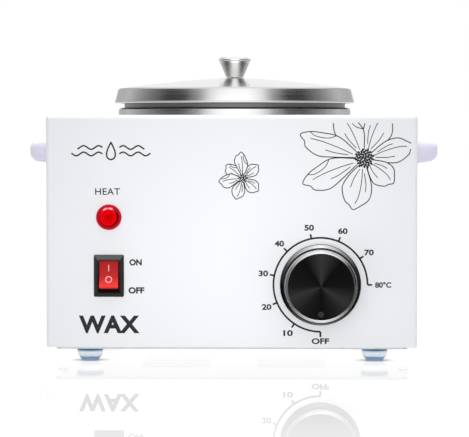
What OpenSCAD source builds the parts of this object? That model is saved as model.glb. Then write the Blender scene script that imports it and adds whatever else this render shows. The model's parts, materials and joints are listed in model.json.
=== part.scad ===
// Single-pot wax warmer: a painted sheet-steel casing holds a heated well,
// in which a lift-out wax pot stands under a loose lid. The front panel carries
// a pilot lamp, a rocker switch and the knob of a capillary thermostat.
// Millimetres, +Z up, front panel facing -Y, origin under the middle of the
// whole object on the surface that it stands on.

/* [Casing] */
// Width of the casing across the front panel
casing_w = 185; // [180:1:195]
// Depth of the casing, front to back
casing_d = 185; // [180:1:195]
// Height of the casing, without its feet
casing_h = 116; // [115:1:122]
// Thickness of the sheet steel
sheet_t = 1; // [0.8:0.1:1.2]
// Radius of the folds along the top edges
fold_r = 2.4; // [2:0.2:3]

/* [Feet] */
// Height of a rubber foot
foot_h = 7; // [6:0.5:9]
// Distance of a foot's centre from the casing's side
foot_inset = 20.5; // [18:0.5:24]

/* [Pot] */
// Outer radius of the lift-out pot
pot_r = 58.8; // [57:0.2:60]
// Height of the lift-out pot, rim included
pot_h = 64; // [58:1:64]
// How far the pot's rim stands above the casing
pot_rise = 14; // [13:0.5:15]

/* [Lid] */
// Outer radius at the bottom edge of the lid's skirt
lid_r = 64; // [63.5:0.5:65]
// Height of the skirt
skirt_h = 8.2; // [7.8:0.2:8.6]
// Rise of the lid's dome over its shoulder
dome_h = 5; // [4:0.5:7]
// Height of the lid's knob
lid_knob_h = 11.2; // [9:0.2:13]

/* [Front panel] */
// Sideways place of the pilot lamp and the rocker switch
switch_x = -61.1; // [-64:0.1:-56]
// Height of the pilot lamp over the casing's bottom
lamp_z = 65.1; // [60:0.1:75]
// Height of the rocker switch over the casing's bottom
switch_z = 35.9; // [32:0.1:40]
// Sideways place of the temperature knob
dial_x = 44.3; // [40:0.1:50]
// Height of the temperature knob over the casing's bottom
dial_z = 31.5; // [28:0.1:36]
// Radius of the temperature knob where it meets the panel
knob_r = 20.2; // [19:0.1:22]
// Tilt of the rocker either side of level
rocker_tilt = 12; // [10:0.5:12]

/* [Handles] */
// Length of a side handle
handle_l = 84; // [80:1:100]
// How far a handle stands off the casing
handle_out = 13.5; // [13:0.5:18]
// Height of a handle's middle over the casing's bottom
handle_z = 97.9; // [90:0.1:100]

/* [Hidden] */
$fn = 96;

gap = 0.1;            // air left between neighbouring pieces of one body
slack = 0.3;          // air left between pieces that move apart
plate_t = 1;          // bottom plate
knob_gap = 0.5;       // knob to panel
knob_depth = 17;      // temperature knob, front to back
inlet_flange_t = 2.5; // the inlet's flange outside the rear panel
half_w = casing_w / 2;
half_d = casing_d / 2;
base_z = foot_h + plate_t;
// The knob stands out further than the inlet, so the casing sits behind the origin.
casing_y = (knob_gap + knob_depth - inlet_flange_t) / 2;

function arc(cx, cy, r, from, to, steps = 8) =
    [for (i = [0:steps]) let (a = from + (to - from) * i / steps) [cx + r * cos(a), cy + r * sin(a)]];

// Outline of a rectangle, its own radius on the upper and on the lower corners.
function rounded(w, h0, h1, r_up, r_low) = concat(
    arc(w / 2 - r_up, h1 - r_up, r_up, 0, 90),
    arc(-w / 2 + r_up, h1 - r_up, r_up, 90, 180),
    arc(-w / 2 + r_low, h0 + r_low, r_low, 180, 270),
    arc(w / 2 - r_low, h0 + r_low, r_low, 270, 360));

module in_casing() translate([0, casing_y, base_z]) children();
// Local +Z points out of the panel, and local +Y points up.
module on_front(x, z) in_casing() translate([x, -half_d, z]) rotate([90, 0, 0]) children();
module on_back(x, z) in_casing() translate([x, half_d, z]) rotate([90, 0, 180]) children();
module on_right_side() in_casing() translate([half_w, 0, handle_z]) children();
module tube(r_out, r_in, z0, z1)
    translate([0, 0, z0]) difference() {
        cylinder(r = r_out, h = z1 - z0);
        translate([0, 0, -1]) cylinder(r = r_in, h = z1 - z0 + 2);
    }
module block(size, centre) translate(centre) cube(size, center = true);
// The screwdriver's cross in the top of a screw's head.
module cross_recess(reach, top, depth)
    for (a = [0, 90]) rotate([0, 0, a]) block([2 * reach, 0.42 * reach, 2 * depth], [0, 0, top]);
// A pan-head screw: its head stands on z = 0.
module pan_screw(r, length, head_r, head_h) {
    difference() {
        rotate_extrude() polygon([
            [0, 0], [head_r, 0], [head_r, 0.5 * head_h], [0.78 * head_r, head_h], [0, head_h]]);
        cross_recess(0.58 * head_r, head_h, 0.45 * head_h);
    }
    translate([0, 0, -length]) cylinder(r = r, h = length + 0.01);
}

// ---- casing ----

rear_slots = 7;
slot_w = 2.4;
slot_pitch = 7;
flange_w = 10;      // turned-in flange along the casing's bottom
hole_r = 60.2;      // hole in the top for the well
plate_screw_y = 52; // screws that hold the bottom plate, in front of and behind the middle
thermostat_screw_x = 14;
inlet_x = 45;
inlet_z = 28;
inlet_screw_x = 20;

module folded_box(w, d, z0, z1, r_top, r_side, r_bottom)
    intersection() {
        translate([0, 0, z0]) linear_extrude(z1 - z0) polygon(rounded(w, -d / 2, d / 2, r_side, r_side));
        rotate([90, 0, 0]) translate([0, 0, -d]) linear_extrude(2 * d)
            polygon(rounded(w, z0, z1, r_top, r_bottom));
        rotate([90, 0, 90]) translate([0, 0, -w]) linear_extrude(2 * w)
            polygon(rounded(d, z0, z1, r_top, r_bottom));
    }

module casing_shell() color("white") {
    inner_w = casing_w - 2 * sheet_t;
    inner_d = casing_d - 2 * sheet_t;
    difference() {
        in_casing() folded_box(casing_w, casing_d, 0, casing_h, fold_r, 2, 1);
        in_casing() folded_box(inner_w, inner_d, sheet_t, casing_h - sheet_t, fold_r - sheet_t, 1, 0.4);
        in_casing() block([casing_w - 2 * flange_w, casing_d - 2 * flange_w, 10], [0, 0, 0]);
        in_casing() translate([0, 0, casing_h - 5]) cylinder(r = hole_r, h = 10);
        for (s = [-1, 1]) {
            for (y = [-1, 1]) in_casing()
                translate([s * (half_w - flange_w / 2), y * plate_screw_y, -1]) cylinder(r = 1.3, h = 4);
            for (y = [-1, 1]) in_casing()
                translate([s * half_w, y * handle_screw_y, handle_z]) rotate([0, 90, 0])
                    cylinder(r = 1.7, h = 8, center = true);
            on_front(dial_x + s * thermostat_screw_x, dial_z) cylinder(r = 2.2, h = 8, center = true);
            on_back(-inlet_x + s * inlet_screw_x, inlet_z) cylinder(r = 1.7, h = 8, center = true);
        }
        on_front(dial_x, dial_z) cylinder(r = 4.6, h = 8, center = true);
        on_front(switch_x, lamp_z) cylinder(r = 5.1, h = 8, center = true);
        on_front(switch_x, switch_z) cube([13.2, 19.2, 8], center = true);
        on_back(-inlet_x, inlet_z) cube([27.3, 19.9, 8], center = true);
        for (i = [0:rear_slots - 1])
            on_back(-inlet_x + (i - (rear_slots - 1) / 2) * slot_pitch + 90, 78)
                cube([slot_w, 22, 8], center = true);
    }
}

// ---- bottom plate and feet ----

plate_inset = 4.5;
plate_slots = 9;

module bottom_plate() color("lightgray") in_casing()
    difference() {
        translate([0, 0, -plate_t]) linear_extrude(plate_t)
            polygon(rounded(casing_w - 2 * plate_inset, -half_d + plate_inset, half_d - plate_inset, 3, 3));
        for (s = [-1, 1]) {
            for (y = [-1, 1])
                translate([s * (half_w - flange_w / 2), y * plate_screw_y, -5]) cylinder(r = 1.7, h = 10);
            for (y = [-1, 1]) translate([s * (half_w - foot_inset), y * (half_d - foot_inset), -5])
                cylinder(r = 1.7, h = 10);
            for (i = [0:plate_slots - 1])
                block([36, 3, 6], [s * 30, (i - (plate_slots - 1) / 2) * 9, 0]);
        }
    }

module bottom_screws() color("silver") in_casing()
    for (x = [-1, 1], y = [-1, 1])
        translate([x * (half_w - flange_w / 2), y * plate_screw_y, -plate_t])
            rotate([180, 0, 0]) pan_screw(1.25, 5, 2.8, 1.6);

foot_top_r = 7;
foot_pad_r = 4.9;
foot_bore_r = 3.3;

function foot_outline() = concat(
    [[foot_bore_r, 0], [foot_pad_r, 0]],
    arc(foot_pad_r - 0.4, 2.2, 2.2, -78, -14),
    [[foot_top_r - 0.15, foot_h - 0.5]],
    [[foot_top_r, foot_h - 0.3], [foot_top_r - 0.2, foot_h], [1.7, foot_h],
     [1.7, foot_h - 2.5], [foot_bore_r, foot_h - 2.5]]);

module foot(x, y) color("lightskyblue", 0.7)
    translate([x * (half_w - foot_inset), casing_y + y * (half_d - foot_inset), 0])
        rotate_extrude() polygon(foot_outline());
module foot_front_left() foot(-1, -1);
module foot_front_right() foot(1, -1);
module foot_rear_left() foot(-1, 1);
module foot_rear_right() foot(1, 1);

module foot_fasteners() color("silver")
    for (x = [-1, 1], y = [-1, 1])
        translate([x * (half_w - foot_inset), casing_y + y * (half_d - foot_inset), 0]) {
            // pan head inside the foot, nut on top of the bottom plate
            translate([0, 0, foot_h - 2.5 - gap]) rotate([180, 0, 0]) pan_screw(1.5, 8, 2.9, 1.8);
            translate([0, 0, base_z + gap]) difference() {
                cylinder(r = 3.2, h = 2.4, $fn = 6);
                translate([0, 0, -1]) cylinder(r = 1.55, h = 5);
            }
        }

// ---- side handles ----

handle_screw_y = handle_l / 2 - 4.5;
grip_half = handle_l / 2 - 9; // half length of the finger recess
grip_w = 8.2;                 // its width
handle_half_h = 7;
handle_nose_r = 5;
end_r = 9;

module handle_body()
    difference() {
        intersection() {
            rotate([90, 0, 0]) linear_extrude(handle_l, center = true) polygon(concat(
                [[gap, -handle_half_h]],
                arc(handle_out - handle_nose_r, -0.9, handle_nose_r, -80, 0),
                arc(handle_out - handle_nose_r, 0.9, handle_nose_r, 0, 80),
                [[gap, handle_half_h]]));
            linear_extrude(4 * handle_half_h, center = true) polygon(concat(
                [[0, -handle_l / 2]],
                arc(handle_out - end_r, -handle_l / 2 + end_r, end_r, -90, 0, 12),
                arc(handle_out - end_r, handle_l / 2 - end_r, end_r, 0, 90, 12),
                [[0, handle_l / 2]]));
        }
        // finger recess, open downwards
        block([grip_w, 2 * grip_half, 20], [2.4 + grip_w / 2, 0, 3.2 - 10]);
        for (s = [-1, 1]) translate([0, s * handle_screw_y, 0]) rotate([0, 90, 0])
            translate([0, 0, -1]) cylinder(r = 1.3, h = 9);
    }
module handle_right() color("ghostwhite") on_right_side() handle_body();
module handle_left() color("ghostwhite") mirror([1, 0, 0]) on_right_side() handle_body();

module handle_screws() color("silver")
    for (m = [0, 1], s = [-1, 1]) mirror([m, 0, 0]) on_right_side()
        translate([-sheet_t - gap, s * handle_screw_y, 0]) rotate([0, -90, 0])
            pan_screw(1.25, 8, 2.8, 1.8);

// ---- well, heater and insulation ----

well_in_r = 59.2;
well_t = 0.8;
well_out_r = well_in_r + well_t;
well_floor = casing_h + pot_rise - pot_h - slack; // inside of the well's floor
well_low = well_floor - well_t;
ring_out_r = 61.8;
ring_in_r = 59.3;
ring_h = 4;
stud_len = 14;

module well_ring() color("silver") in_casing() translate([0, 0, casing_h])
    rotate_extrude() polygon([
        [ring_out_r, 0], [ring_out_r, ring_h - 0.8], [ring_out_r - 0.9, ring_h - 0.1],
        [ring_out_r - 1.1, ring_h], [ring_in_r + 0.3, ring_h], [ring_in_r, ring_h - 0.3],
        [ring_in_r, 1], [ring_out_r - 0.4, 1], [ring_out_r - 0.4, 0]]);

module heating_well() color("silver") in_casing() {
    rotate_extrude() polygon(concat(
        [[0, well_low]],
        arc(well_out_r - 4.8, well_low + 4.8, 4.8, -90, 0),
        [[well_out_r, casing_h + 0.05], [ring_out_r - 0.5, casing_h + 0.05],
         [ring_out_r - 0.5, casing_h + 0.9], [well_in_r, casing_h + 0.9]],
        arc(well_in_r - 4, well_floor + 4, 4, 0, -90),
        [[0, well_floor]]));
    translate([0, 0, well_low - stud_len]) cylinder(r = 2.5, h = stud_len + 0.1);
}

module retaining_ring() color("gray") in_casing()
    tube(66, well_out_r + 0.05, casing_h - sheet_t - 1.4, casing_h - sheet_t - gap);

heater_z0 = 73;
heater_z1 = 105;
heater_out_r = 62.3;
split_w = 6;
ear_out = 8;
ear_t = 1.5;
clamp_y = 66.5;
clamp_z = (heater_z0 + heater_z1) / 2;

module band_heater() color("darkgray") in_casing() {
    difference() {
        tube(heater_out_r, well_out_r + 0.05, heater_z0, heater_z1);
        block([split_w, 20, 60], [0, 62, clamp_z]);
    }
    for (s = [-1, 1]) difference() {
        block([ear_t, ear_out, 20], [s * (split_w + ear_t) / 2, 61.9 + ear_out / 2, clamp_z]);
        translate([0, clamp_y, clamp_z]) rotate([0, 90, 0]) cylinder(r = 2.2, h = 20, center = true);
    }
}

module clamp_fasteners() color("silver") in_casing() translate([0, clamp_y, clamp_z]) rotate([0, 90, 0]) {
    translate([0, 0, split_w / 2 + ear_t + gap]) pan_screw(2, 14, 3.6, 2.4);
    translate([0, 0, -split_w / 2 - ear_t - gap - 3]) difference() {
        cylinder(r = 4, h = 3, $fn = 6);
        translate([0, 0, -1]) cylinder(r = 2.05, h = 5);
    }
}

terminal_a = 8; // degrees either side of the heater's left-hand side
terminal_z = 82;
post_h = 5;
tag_l = 7;
tag_w = 4.8;
tag_t = 0.8;
module at_heater_terminal(side) rotate([0, 0, 180 + side * terminal_a])
    translate([heater_out_r + gap, 0, terminal_z]) rotate([0, 90, 0]) children();

module heater_terminals() color("ivory") in_casing()
    for (s = [-1, 1]) at_heater_terminal(s) {
        cylinder(r = 3.2, h = post_h);
        block([tag_w, tag_t, tag_l], [0, 0, post_h + tag_l / 2 - 0.01]);
    }

module insulation_wrap() color("wheat") in_casing()
    difference() {
        tube(70, heater_out_r + 0.3, 71, 107);
        block([26, 24, 60], [0, 66, clamp_z]);
        block([24, 28, 60], [-66, 0, clamp_z]);
    }

pad_t = 7;
pad_z = well_low - gap - pad_t;
bulb_y = -24;
cutout_x = 26;
cutout_y = 14;
module insulation_pad() color("wheat") in_casing()
    difference() {
        translate([0, 0, pad_z]) cylinder(r = 52, h = pad_t);
        translate([0, 0, pad_z - 1]) cylinder(r = 2.7, h = pad_t + 2);
        translate([cutout_x, cutout_y, pad_z - 1]) cylinder(r = 9, h = pad_t + 2);
        block([120, 5, 5.2], [12, bulb_y, pad_z + pad_t - 2.5]);
    }

module pressure_plate() color("lightgray") in_casing()
    difference() {
        translate([0, 0, pad_z - gap - 1]) cylinder(r = 48, h = 1);
        translate([0, 0, pad_z - 5]) cylinder(r = 2.7, h = 10);
        translate([cutout_x, cutout_y, pad_z - 5]) cylinder(r = 7.2, h = 10);
    }

module stud_fasteners() color("silver") in_casing() translate([0, 0, pad_z - 2 * gap - 1])
    mirror([0, 0, 1]) {
        tube(7, 2.6, 0, 1.2);
        difference() {
            translate([0, 0, 1.3]) cylinder(r = 4.6, h = 4, $fn = 6);
            cylinder(r = 2.55, h = 8);
        }
    }

// The pressure plate bears on the shoulder of the cut-out and holds it against the well.
cutout_h = 10;
cutout_tag_x = 4.5;
module at_cutout() in_casing() translate([cutout_x, cutout_y, well_low - gap]) mirror([0, 0, 1]) children();
module thermal_cutout() color("dimgray") at_cutout() {
    cylinder(r = 8, h = pad_t - 0.1);
    translate([0, 0, pad_t - 0.2]) cylinder(r = 7, h = cutout_h - pad_t + 0.2);
    for (s = [-1, 1]) block([tag_t, tag_w, tag_l], [s * cutout_tag_x, 0, cutout_h + tag_l / 2 - 0.01]);
}

bulb_r = 2;
module thermostat_bulb() color("peru") in_casing()
    translate([-20, bulb_y, well_low - gap - bulb_r]) rotate([0, 90, 0]) cylinder(r = bulb_r, h = 60);

// ---- thermostat and its knob ----

shaft_r = 3;
module thermostat_bracket() color("silver") on_front(dial_x, dial_z)
    difference() {
        block([36, 26, 1.2], [0, 0, -sheet_t - gap - 0.6]);
        cylinder(r = 4.6, h = 10, center = true);
        for (s = [-1, 1])
            translate([s * thermostat_screw_x, 0, 0]) cylinder(r = 2.05, h = 10, center = true);
    }

body_front = -sheet_t - 2 * gap - 1.2;
body_deep = 16;
stat_tag_x = 6;
stat_tag_y = 12;
long_tag_l = 8;
module thermostat_body() color("saddlebrown") on_front(dial_x, dial_z) {
    difference() {
        union() {
            block([22, 34, body_deep], [0, 0, body_front - body_deep / 2]);
            translate([0, -4, body_front - body_deep - 4]) cylinder(r = 10, h = 4.2);
        }
        translate([0, 0, body_front - 12]) cylinder(r = shaft_r + 0.06, h = 20);
    }
}

module thermostat_terminals() color("gold") on_front(dial_x, dial_z)
    for (s = [-1, 1])
        block([tag_w, tag_t, long_tag_l],
            [s * stat_tag_x, stat_tag_y, body_front - body_deep - gap - long_tag_l / 2]);

module thermostat_screws() color("silver") on_front(dial_x, dial_z)
    for (s = [-1, 1]) translate([s * thermostat_screw_x, 0, gap]) pan_screw(2, 6, 3.6, 2.2);

shaft_front = 12.5;
module thermostat_spindle() color("silver") on_front(dial_x, dial_z)
    difference() {
        translate([0, 0, body_front - 11.5]) cylinder(r = shaft_r, h = shaft_front - body_front + 11.5);
        block([10, 4, 10], [0, 2 + 1.5, shaft_front - 4.9]);
    }

insert_r = 16.3;
insert_t = 1.3;
groove_z = 8.8;
face_z = knob_gap + knob_depth;
module knob_body() color("silver") on_front(dial_x, dial_z)
    difference() {
        union() {
            rotate_extrude() polygon(concat(
                [[knob_r - 2.2, knob_gap], [knob_r - 0.4, knob_gap], [knob_r, knob_gap + 0.4]],
                [[knob_r - 1.4, groove_z - 0.3], [knob_r - 1.7, groove_z], [knob_r - 2.3, groove_z + 0.1],
                 [knob_r - 2.3, groove_z + 0.7], [knob_r - 1.8, groove_z + 0.9]],
                arc(insert_r + 0.45, face_z - 0.5, 0.45, 10, 90, 5),
                [[insert_r + 0.1, face_z - 0.05], [insert_r + 0.1, face_z - insert_t - gap],
                 [0, face_z - insert_t - gap], [0, face_z - 4], [knob_r - 4, face_z - 4],
                 [knob_r - 2.8, groove_z]]));
            translate([0, 0, 3.5]) cylinder(r = 6, h = face_z - 4 - 3.4);
        }
        difference() {
            cylinder(r = shaft_r + 0.05, h = shaft_front + 0.3);
            block([10, 4, 12], [0, 2 + 1.55, shaft_front - 4]);
        }
    }

dot_r = 1.5;
dot_y = -13.6;
module knob_insert() color([0.05, 0.05, 0.05]) on_front(dial_x, dial_z)
    difference() {
        translate([0, 0, face_z - insert_t]) cylinder(r = insert_r, h = insert_t - 0.1);
        translate([0, dot_y, face_z - 0.6]) cylinder(r = dot_r + 0.05, h = 2);
    }

module knob_pointer() color("dimgray") on_front(dial_x, dial_z)
    translate([0, dot_y, face_z - 0.6 + 0.05]) cylinder(r = dot_r, h = 0.5);

// ---- rocker switch ----

bezel_w = 15;
bezel_h = 21;
bezel_t = 2;
rocker_half_l = 6.9;
rocker_half_w = 4.75;
window_half_l = 7.65;
window_half_w = 5.15;
pivot_in = 1.2;  // rocker's axis behind the panel's face
switch_deep = 14.5;
switch_tag_y = 5;

module switch_housing() color([0.13, 0.13, 0.13]) on_front(switch_x, switch_z)
    difference() {
        union() {
            intersection() {
                rotate([90, 0, 0]) linear_extrude(bezel_h, center = true) polygon([
                    [-bezel_w / 2, 0.05], [bezel_w / 2, 0.05], [bezel_w / 2, 0.6],
                    [bezel_w / 2 - 1.5, bezel_t], [-bezel_w / 2 + 1.5, bezel_t], [-bezel_w / 2, 0.6]]);
                rotate([90, 0, 90]) linear_extrude(bezel_w, center = true) polygon([
                    [-bezel_h / 2, 0.05], [bezel_h / 2, 0.05], [bezel_h / 2, 0.6],
                    [bezel_h / 2 - 1.5, bezel_t], [-bezel_h / 2 + 1.5, bezel_t], [-bezel_h / 2, 0.6]]);
            }
            block([13, 19, switch_deep], [0, 0, 0.1 - switch_deep / 2]);
        }
        block([2 * window_half_w, 2 * window_half_l, 20], [0, 0, -7 + 10]);
        translate([0, 0, -pivot_in]) rotate([0, 90, 0]) cylinder(r = 1.06, h = 12.2, center = true);
    }

module switch_terminals() color("gold") on_front(switch_x, switch_z)
    for (s = [-1, 1])
        block([tag_w, tag_t, long_tag_l], [0, s * switch_tag_y, -switch_deep - gap - long_tag_l / 2]);

// Side view of the rocker: first number out of the panel, second number up, axis at 0, 0.
function rocker_outline() = concat(
    [for (i = [-5:5]) let (z = i * 1.26) [3 + 1.2 * pow(z / 6.3, 2), z]],
    arc(3.5, 6.3, 0.65, 50, 90, 3),
    [[3, rocker_half_l], [0, 6.8], [-2.6, 5.4], [-4.6, 1.6],
     [-4.6, -1.6], [-2.6, -5.4], [0, -6.8], [3, -rocker_half_l]],
    arc(3.5, -6.3, 0.65, -90, -50, 3));

module switch_rocker() color("firebrick") on_front(switch_x, switch_z)
    translate([0, 0, -pivot_in]) rotate([-rocker_tilt, 0, 0]) {
        rotate([0, -90, 0]) linear_extrude(2 * rocker_half_w, center = true) polygon(rocker_outline());
        for (s = [-1, 1]) translate([s * (rocker_half_w + 0.6), 0, 0]) rotate([0, 90, 0])
            cylinder(r = 1, h = 1.3, center = true);
    }

// ---- pilot lamp ----

lens_r = 6.35;
lens_face_r = 4.6;
lens_h = 3.6;
lamp_tag_x = 2;
module lamp_lens() color("red", 0.8) on_front(switch_x, lamp_z)
    rotate_extrude() polygon(concat(
        [[3.2, -6], [4.1, -6], [4.1, 0.05], [lens_r - 0.1, 0.05], [lens_r, 0.3], [lens_r - 0.1, 1.1]],
        [[lens_face_r + 0.25, lens_h - 0.5], [lens_face_r, lens_h]],
        [for (i = [0:3]) each [[lens_face_r - 0.7 - i, lens_h - 0.3], [lens_face_r - 1 - i, lens_h - 0.02]]],
        [[0, lens_h - 0.3], [0, 1.6], [2.4, 1.6], [3.2, 1.0]]));

module lamp_body() color("ivory") on_front(switch_x, lamp_z)
    difference() {
        union() {
            translate([0, 0, -20]) cylinder(r = 5, h = 19.95);
            for (s = [-1, 1]) block([tag_t, 2.8, 6.4], [s * lamp_tag_x, 0, -23.1]);
        }
        translate([0, 0, -14]) cylinder(r = 4.15, h = 20);
    }

module lamp_nut() color("ivory") on_front(switch_x, lamp_z)
    difference() {
        translate([0, 0, -sheet_t - gap - 3]) cylinder(r = 8, h = 3, $fn = 6);
        cylinder(r = 5.05, h = 12, center = true);
    }

module neon_bulb() color("orange", 0.8) on_front(switch_x, lamp_z) {
    translate([0, 0, -13.9]) cylinder(r = 2.2, h = 12.9);
    translate([0, 0, -1]) sphere(r = 2.2);
}

// ---- mains inlet and earth ----

pin_clear = 0.02;
inlet_cavity = -14.5;
function pin_places() = [[-7, -2], [7, -2], [0, 2]];

module inlet_body() color([0.15, 0.15, 0.15]) on_back(-inlet_x, inlet_z)
    difference() {
        union() {
            translate([0, 0, 0.05]) linear_extrude(inlet_flange_t - 0.05)
                polygon(rounded(50, -12, 12, 4, 4));
            block([27, 19.6, 18], [0, 0, 0.1 - 9]);
        }
        translate([0, 0, inlet_cavity]) linear_extrude(30) polygon([
            [-12, -8], [12, -8], [12, 4], [8, 8], [-8, 8], [-12, 4]]);
        for (p = pin_places()) block([2 + 2 * pin_clear, 4 + 2 * pin_clear, 40], [p[0], p[1], -10]);
        for (s = [-1, 1]) translate([s * inlet_screw_x, 0, 0]) {
            cylinder(r = 1.7, h = 20, center = true);
            translate([0, 0, inlet_flange_t - 1.6]) cylinder(r1 = 1.7, r2 = 3.4, h = 1.7);
        }
    }

module inlet_pins() color("gold") on_back(-inlet_x, inlet_z)
    for (p = pin_places()) {
        block([2, 4, 16.5], [p[0], p[1], -11.25]);
        block([tag_t, 4, 6.6], [p[0], p[1], -22.7]);
    }

module inlet_screws() color("silver") on_back(-inlet_x, inlet_z)
    for (s = [-1, 1]) translate([s * inlet_screw_x, 0, 0]) {
        difference() {
            translate([0, 0, inlet_flange_t - 1.6]) cylinder(r1 = 1.45, r2 = 3.1, h = 1.55);
            cross_recess(1.8, inlet_flange_t - 0.05, 0.75);
        }
        translate([0, 0, -7]) cylinder(r = 1.45, h = inlet_flange_t + 5.5);
    }

module inlet_nuts() color("silver") on_back(-inlet_x, inlet_z)
    for (s = [-1, 1]) translate([s * inlet_screw_x, 0, -sheet_t - gap - 2.4]) difference() {
        cylinder(r = 3.2, h = 2.4, $fn = 6);
        translate([0, 0, -1]) cylinder(r = 1.5, h = 5);
    }

earth_x = -8;
module earth_stud() color("silver") on_back(earth_x, inlet_z)
    translate([0, 0, -sheet_t - 14]) cylinder(r = 2, h = 13.95);

module earth_nut() color("gold") on_back(earth_x, inlet_z)
    translate([0, 0, -sheet_t - 8]) difference() {
        union() {
            cylinder(r = 4, h = 3, $fn = 6);
            translate([0, 0, 3.1]) cylinder(r = 4.5, h = 0.8);
        }
        translate([0, 0, -1]) cylinder(r = 2.05, h = 6);
    }

// ---- wiring: round-sided tubes swept along smooth routes, in the casing's own frame ----

function unit(v) = v / norm(v);
// Point on a Catmull-Rom curve through four neighbouring route points.
function spline(a, b, c, d, t) =
    0.5 * (2 * b + (c - a) * t + (2 * a - 5 * b + 4 * c - d) * t * t + (3 * b - a - 3 * c + d) * t * t * t);
function smooth(p, steps) = concat(
    [for (i = [0:len(p) - 2], s = [0:steps - 1])
        spline(p[max(i - 1, 0)], p[i], p[i + 1], p[min(i + 2, len(p) - 1)], s / steps)],
    [p[len(p) - 1]]);

// A direction square to t, as near as can be to n.
function square_to(t, n) = unit(n - (n * t) * t);
// One such direction for each step of the line, each carried over from the one before.
function carried(tangents, n, i = 0) =
    i == len(tangents) ? [] : let (m = square_to(tangents[i], n)) concat([m], carried(tangents, m, i + 1));

module swept(route, r, sides = 8, steps = 4) {
    line = smooth(route, steps);
    n = len(line);
    tangents = [for (i = [0:n - 1]) unit(line[min(i + 1, n - 1)] - line[max(i - 1, 0)])];
    start = abs(tangents[0][2]) < 0.7 ? [0, 0, 1] : [1, 0, 0];
    normals = carried(tangents, start);
    rings = [for (i = [0:n - 1])
        let (u = normals[i], v = cross(tangents[i], u))
        [for (k = [0:sides - 1]) line[i] + r * (cos(k * 360 / sides) * u + sin(k * 360 / sides) * v)]];
    polyhedron(
        points = [for (ring = rings) each ring],
        faces = concat(
            [[for (k = [0:sides - 1]) k]],
            [for (i = [0:n - 2], k = [0:sides - 1])
                let (here = i * sides, ahead = here + sides, next = (k + 1) % sides)
                [here + k, ahead + k, ahead + next, here + next]],
            [[for (k = [sides - 1:-1:0]) (n - 1) * sides + k]]),
        convexity = 6);
}

// A push-on connector over a tag of width w that points along +Z and ends at height tip.
connector_over = 1;
module push_on(w, tip, t = 2.6)
    difference() {
        block([w + 1.6, t, tag_l], [0, 0, tip + connector_over - tag_l / 2]);
        block([w + 0.2, 1, tag_l + 2], [0, 0, tip + 0.1 - tag_l / 2 - 1]);
    }

switch_tip = switch_deep + gap + long_tag_l;
stat_tip = body_deep + gap + long_tag_l - body_front;
lamp_tip = 26.3;
inlet_tip = 26;
heater_tip = post_h + tag_l;
cutout_tip = cutout_h + tag_l;

module wire_connectors() color("whitesmoke") {
    on_front(switch_x, switch_z) mirror([0, 0, 1])
        for (s = [-1, 1]) translate([0, s * switch_tag_y, 0]) push_on(tag_w, switch_tip);
    on_front(dial_x, dial_z) mirror([0, 0, 1])
        for (s = [-1, 1]) translate([s * stat_tag_x, stat_tag_y, 0]) push_on(tag_w, stat_tip);
    on_front(switch_x, lamp_z) mirror([0, 0, 1])
        for (s = [-1, 1]) translate([s * lamp_tag_x, 0, 0]) rotate([0, 0, 90]) push_on(2.8, lamp_tip, 1.8);
    on_back(-inlet_x, inlet_z) mirror([0, 0, 1])
        for (p = pin_places()) translate([p[0], p[1], 0]) rotate([0, 0, 90]) push_on(4, inlet_tip);
    at_cutout()
        for (s = [-1, 1]) translate([s * cutout_tag_x, 0, 0]) rotate([0, 0, 90]) push_on(tag_w, cutout_tip);
    in_casing() for (s = [-1, 1]) at_heater_terminal(s) push_on(tag_w, heater_tip);
}

// A wire starts and ends just clear of its connectors.
end_gap = connector_over + 0.3;
switch_end = -half_d + switch_tip + end_gap;
stat_end = -half_d + stat_tip + end_gap;
lamp_end = -half_d + lamp_tip + end_gap;
inlet_end = half_d - inlet_tip - end_gap;
cutout_end = well_low - gap - cutout_tip - end_gap;
heater_end = heater_out_r + gap + heater_tip + end_gap;
terminal_x = -heater_end * cos(terminal_a);
terminal_y = heater_end * sin(terminal_a);
wire_r = 1.1;
thin_r = 0.8;

module wire_live_in() color("sienna") in_casing() swept([
    [-52, inlet_end, inlet_z - 2], [-52, 58, 25], [-55, 36, 20], [-60, 0, 14], [-62, -36, 18],
    [switch_x, -58, 29], [switch_x, switch_end, switch_z - switch_tag_y]], wire_r);
module wire_switch_out() color("sienna") in_casing() swept([
    [switch_x, switch_end, switch_z + switch_tag_y], [-58, -58, 42], [-36, -50, 38], [0, -46, 37],
    [26, -50, 42], [37, -56, 44], [dial_x - stat_tag_x, stat_end, dial_z + stat_tag_y]], wire_r);
module wire_thermostat_out() color("firebrick") in_casing() swept([
    [dial_x + stat_tag_x, stat_end, dial_z + stat_tag_y], [51, -55, 43], [48, -30, 36], [42, -6, 30],
    [33, 10, 32], [cutout_x + cutout_tag_x, cutout_y, 39],
    [cutout_x + cutout_tag_x, cutout_y, cutout_end]], wire_r);
module wire_heater_live() color("firebrick") in_casing() swept([
    [cutout_x - cutout_tag_x, cutout_y, cutout_end], [cutout_x - cutout_tag_x, cutout_y, 39],
    [10, 6, 31], [-20, -10, 36],
    [-58, -18, 46], [-80, -14, 62], [-84.5, -12.4, 74], [-80.5, -11.5, terminal_z - 2],
    [terminal_x, -terminal_y, terminal_z - 1.4]], wire_r);
module wire_neutral() color("royalblue") in_casing() swept([
    [-38, inlet_end, inlet_z - 2], [-38, 56, 27], [-54, 30, 37], [-76, 18, 54], [-84.5, 12.6, 72],
    [-80.5, 11.5, terminal_z - 2], [terminal_x, terminal_y, terminal_z - 1.4]], wire_r);
module wire_lamp_live() color("black") in_casing() swept([
    [switch_x - lamp_tag_x, lamp_end, lamp_z], [-64, -62, 66], [-76, -46, 70], [-85, -28, 78],
    [-85, -16, 83],
    [-80.5, -11.5, terminal_z + 2.4], [terminal_x, -terminal_y, terminal_z + 1.9]], thin_r);
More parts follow.
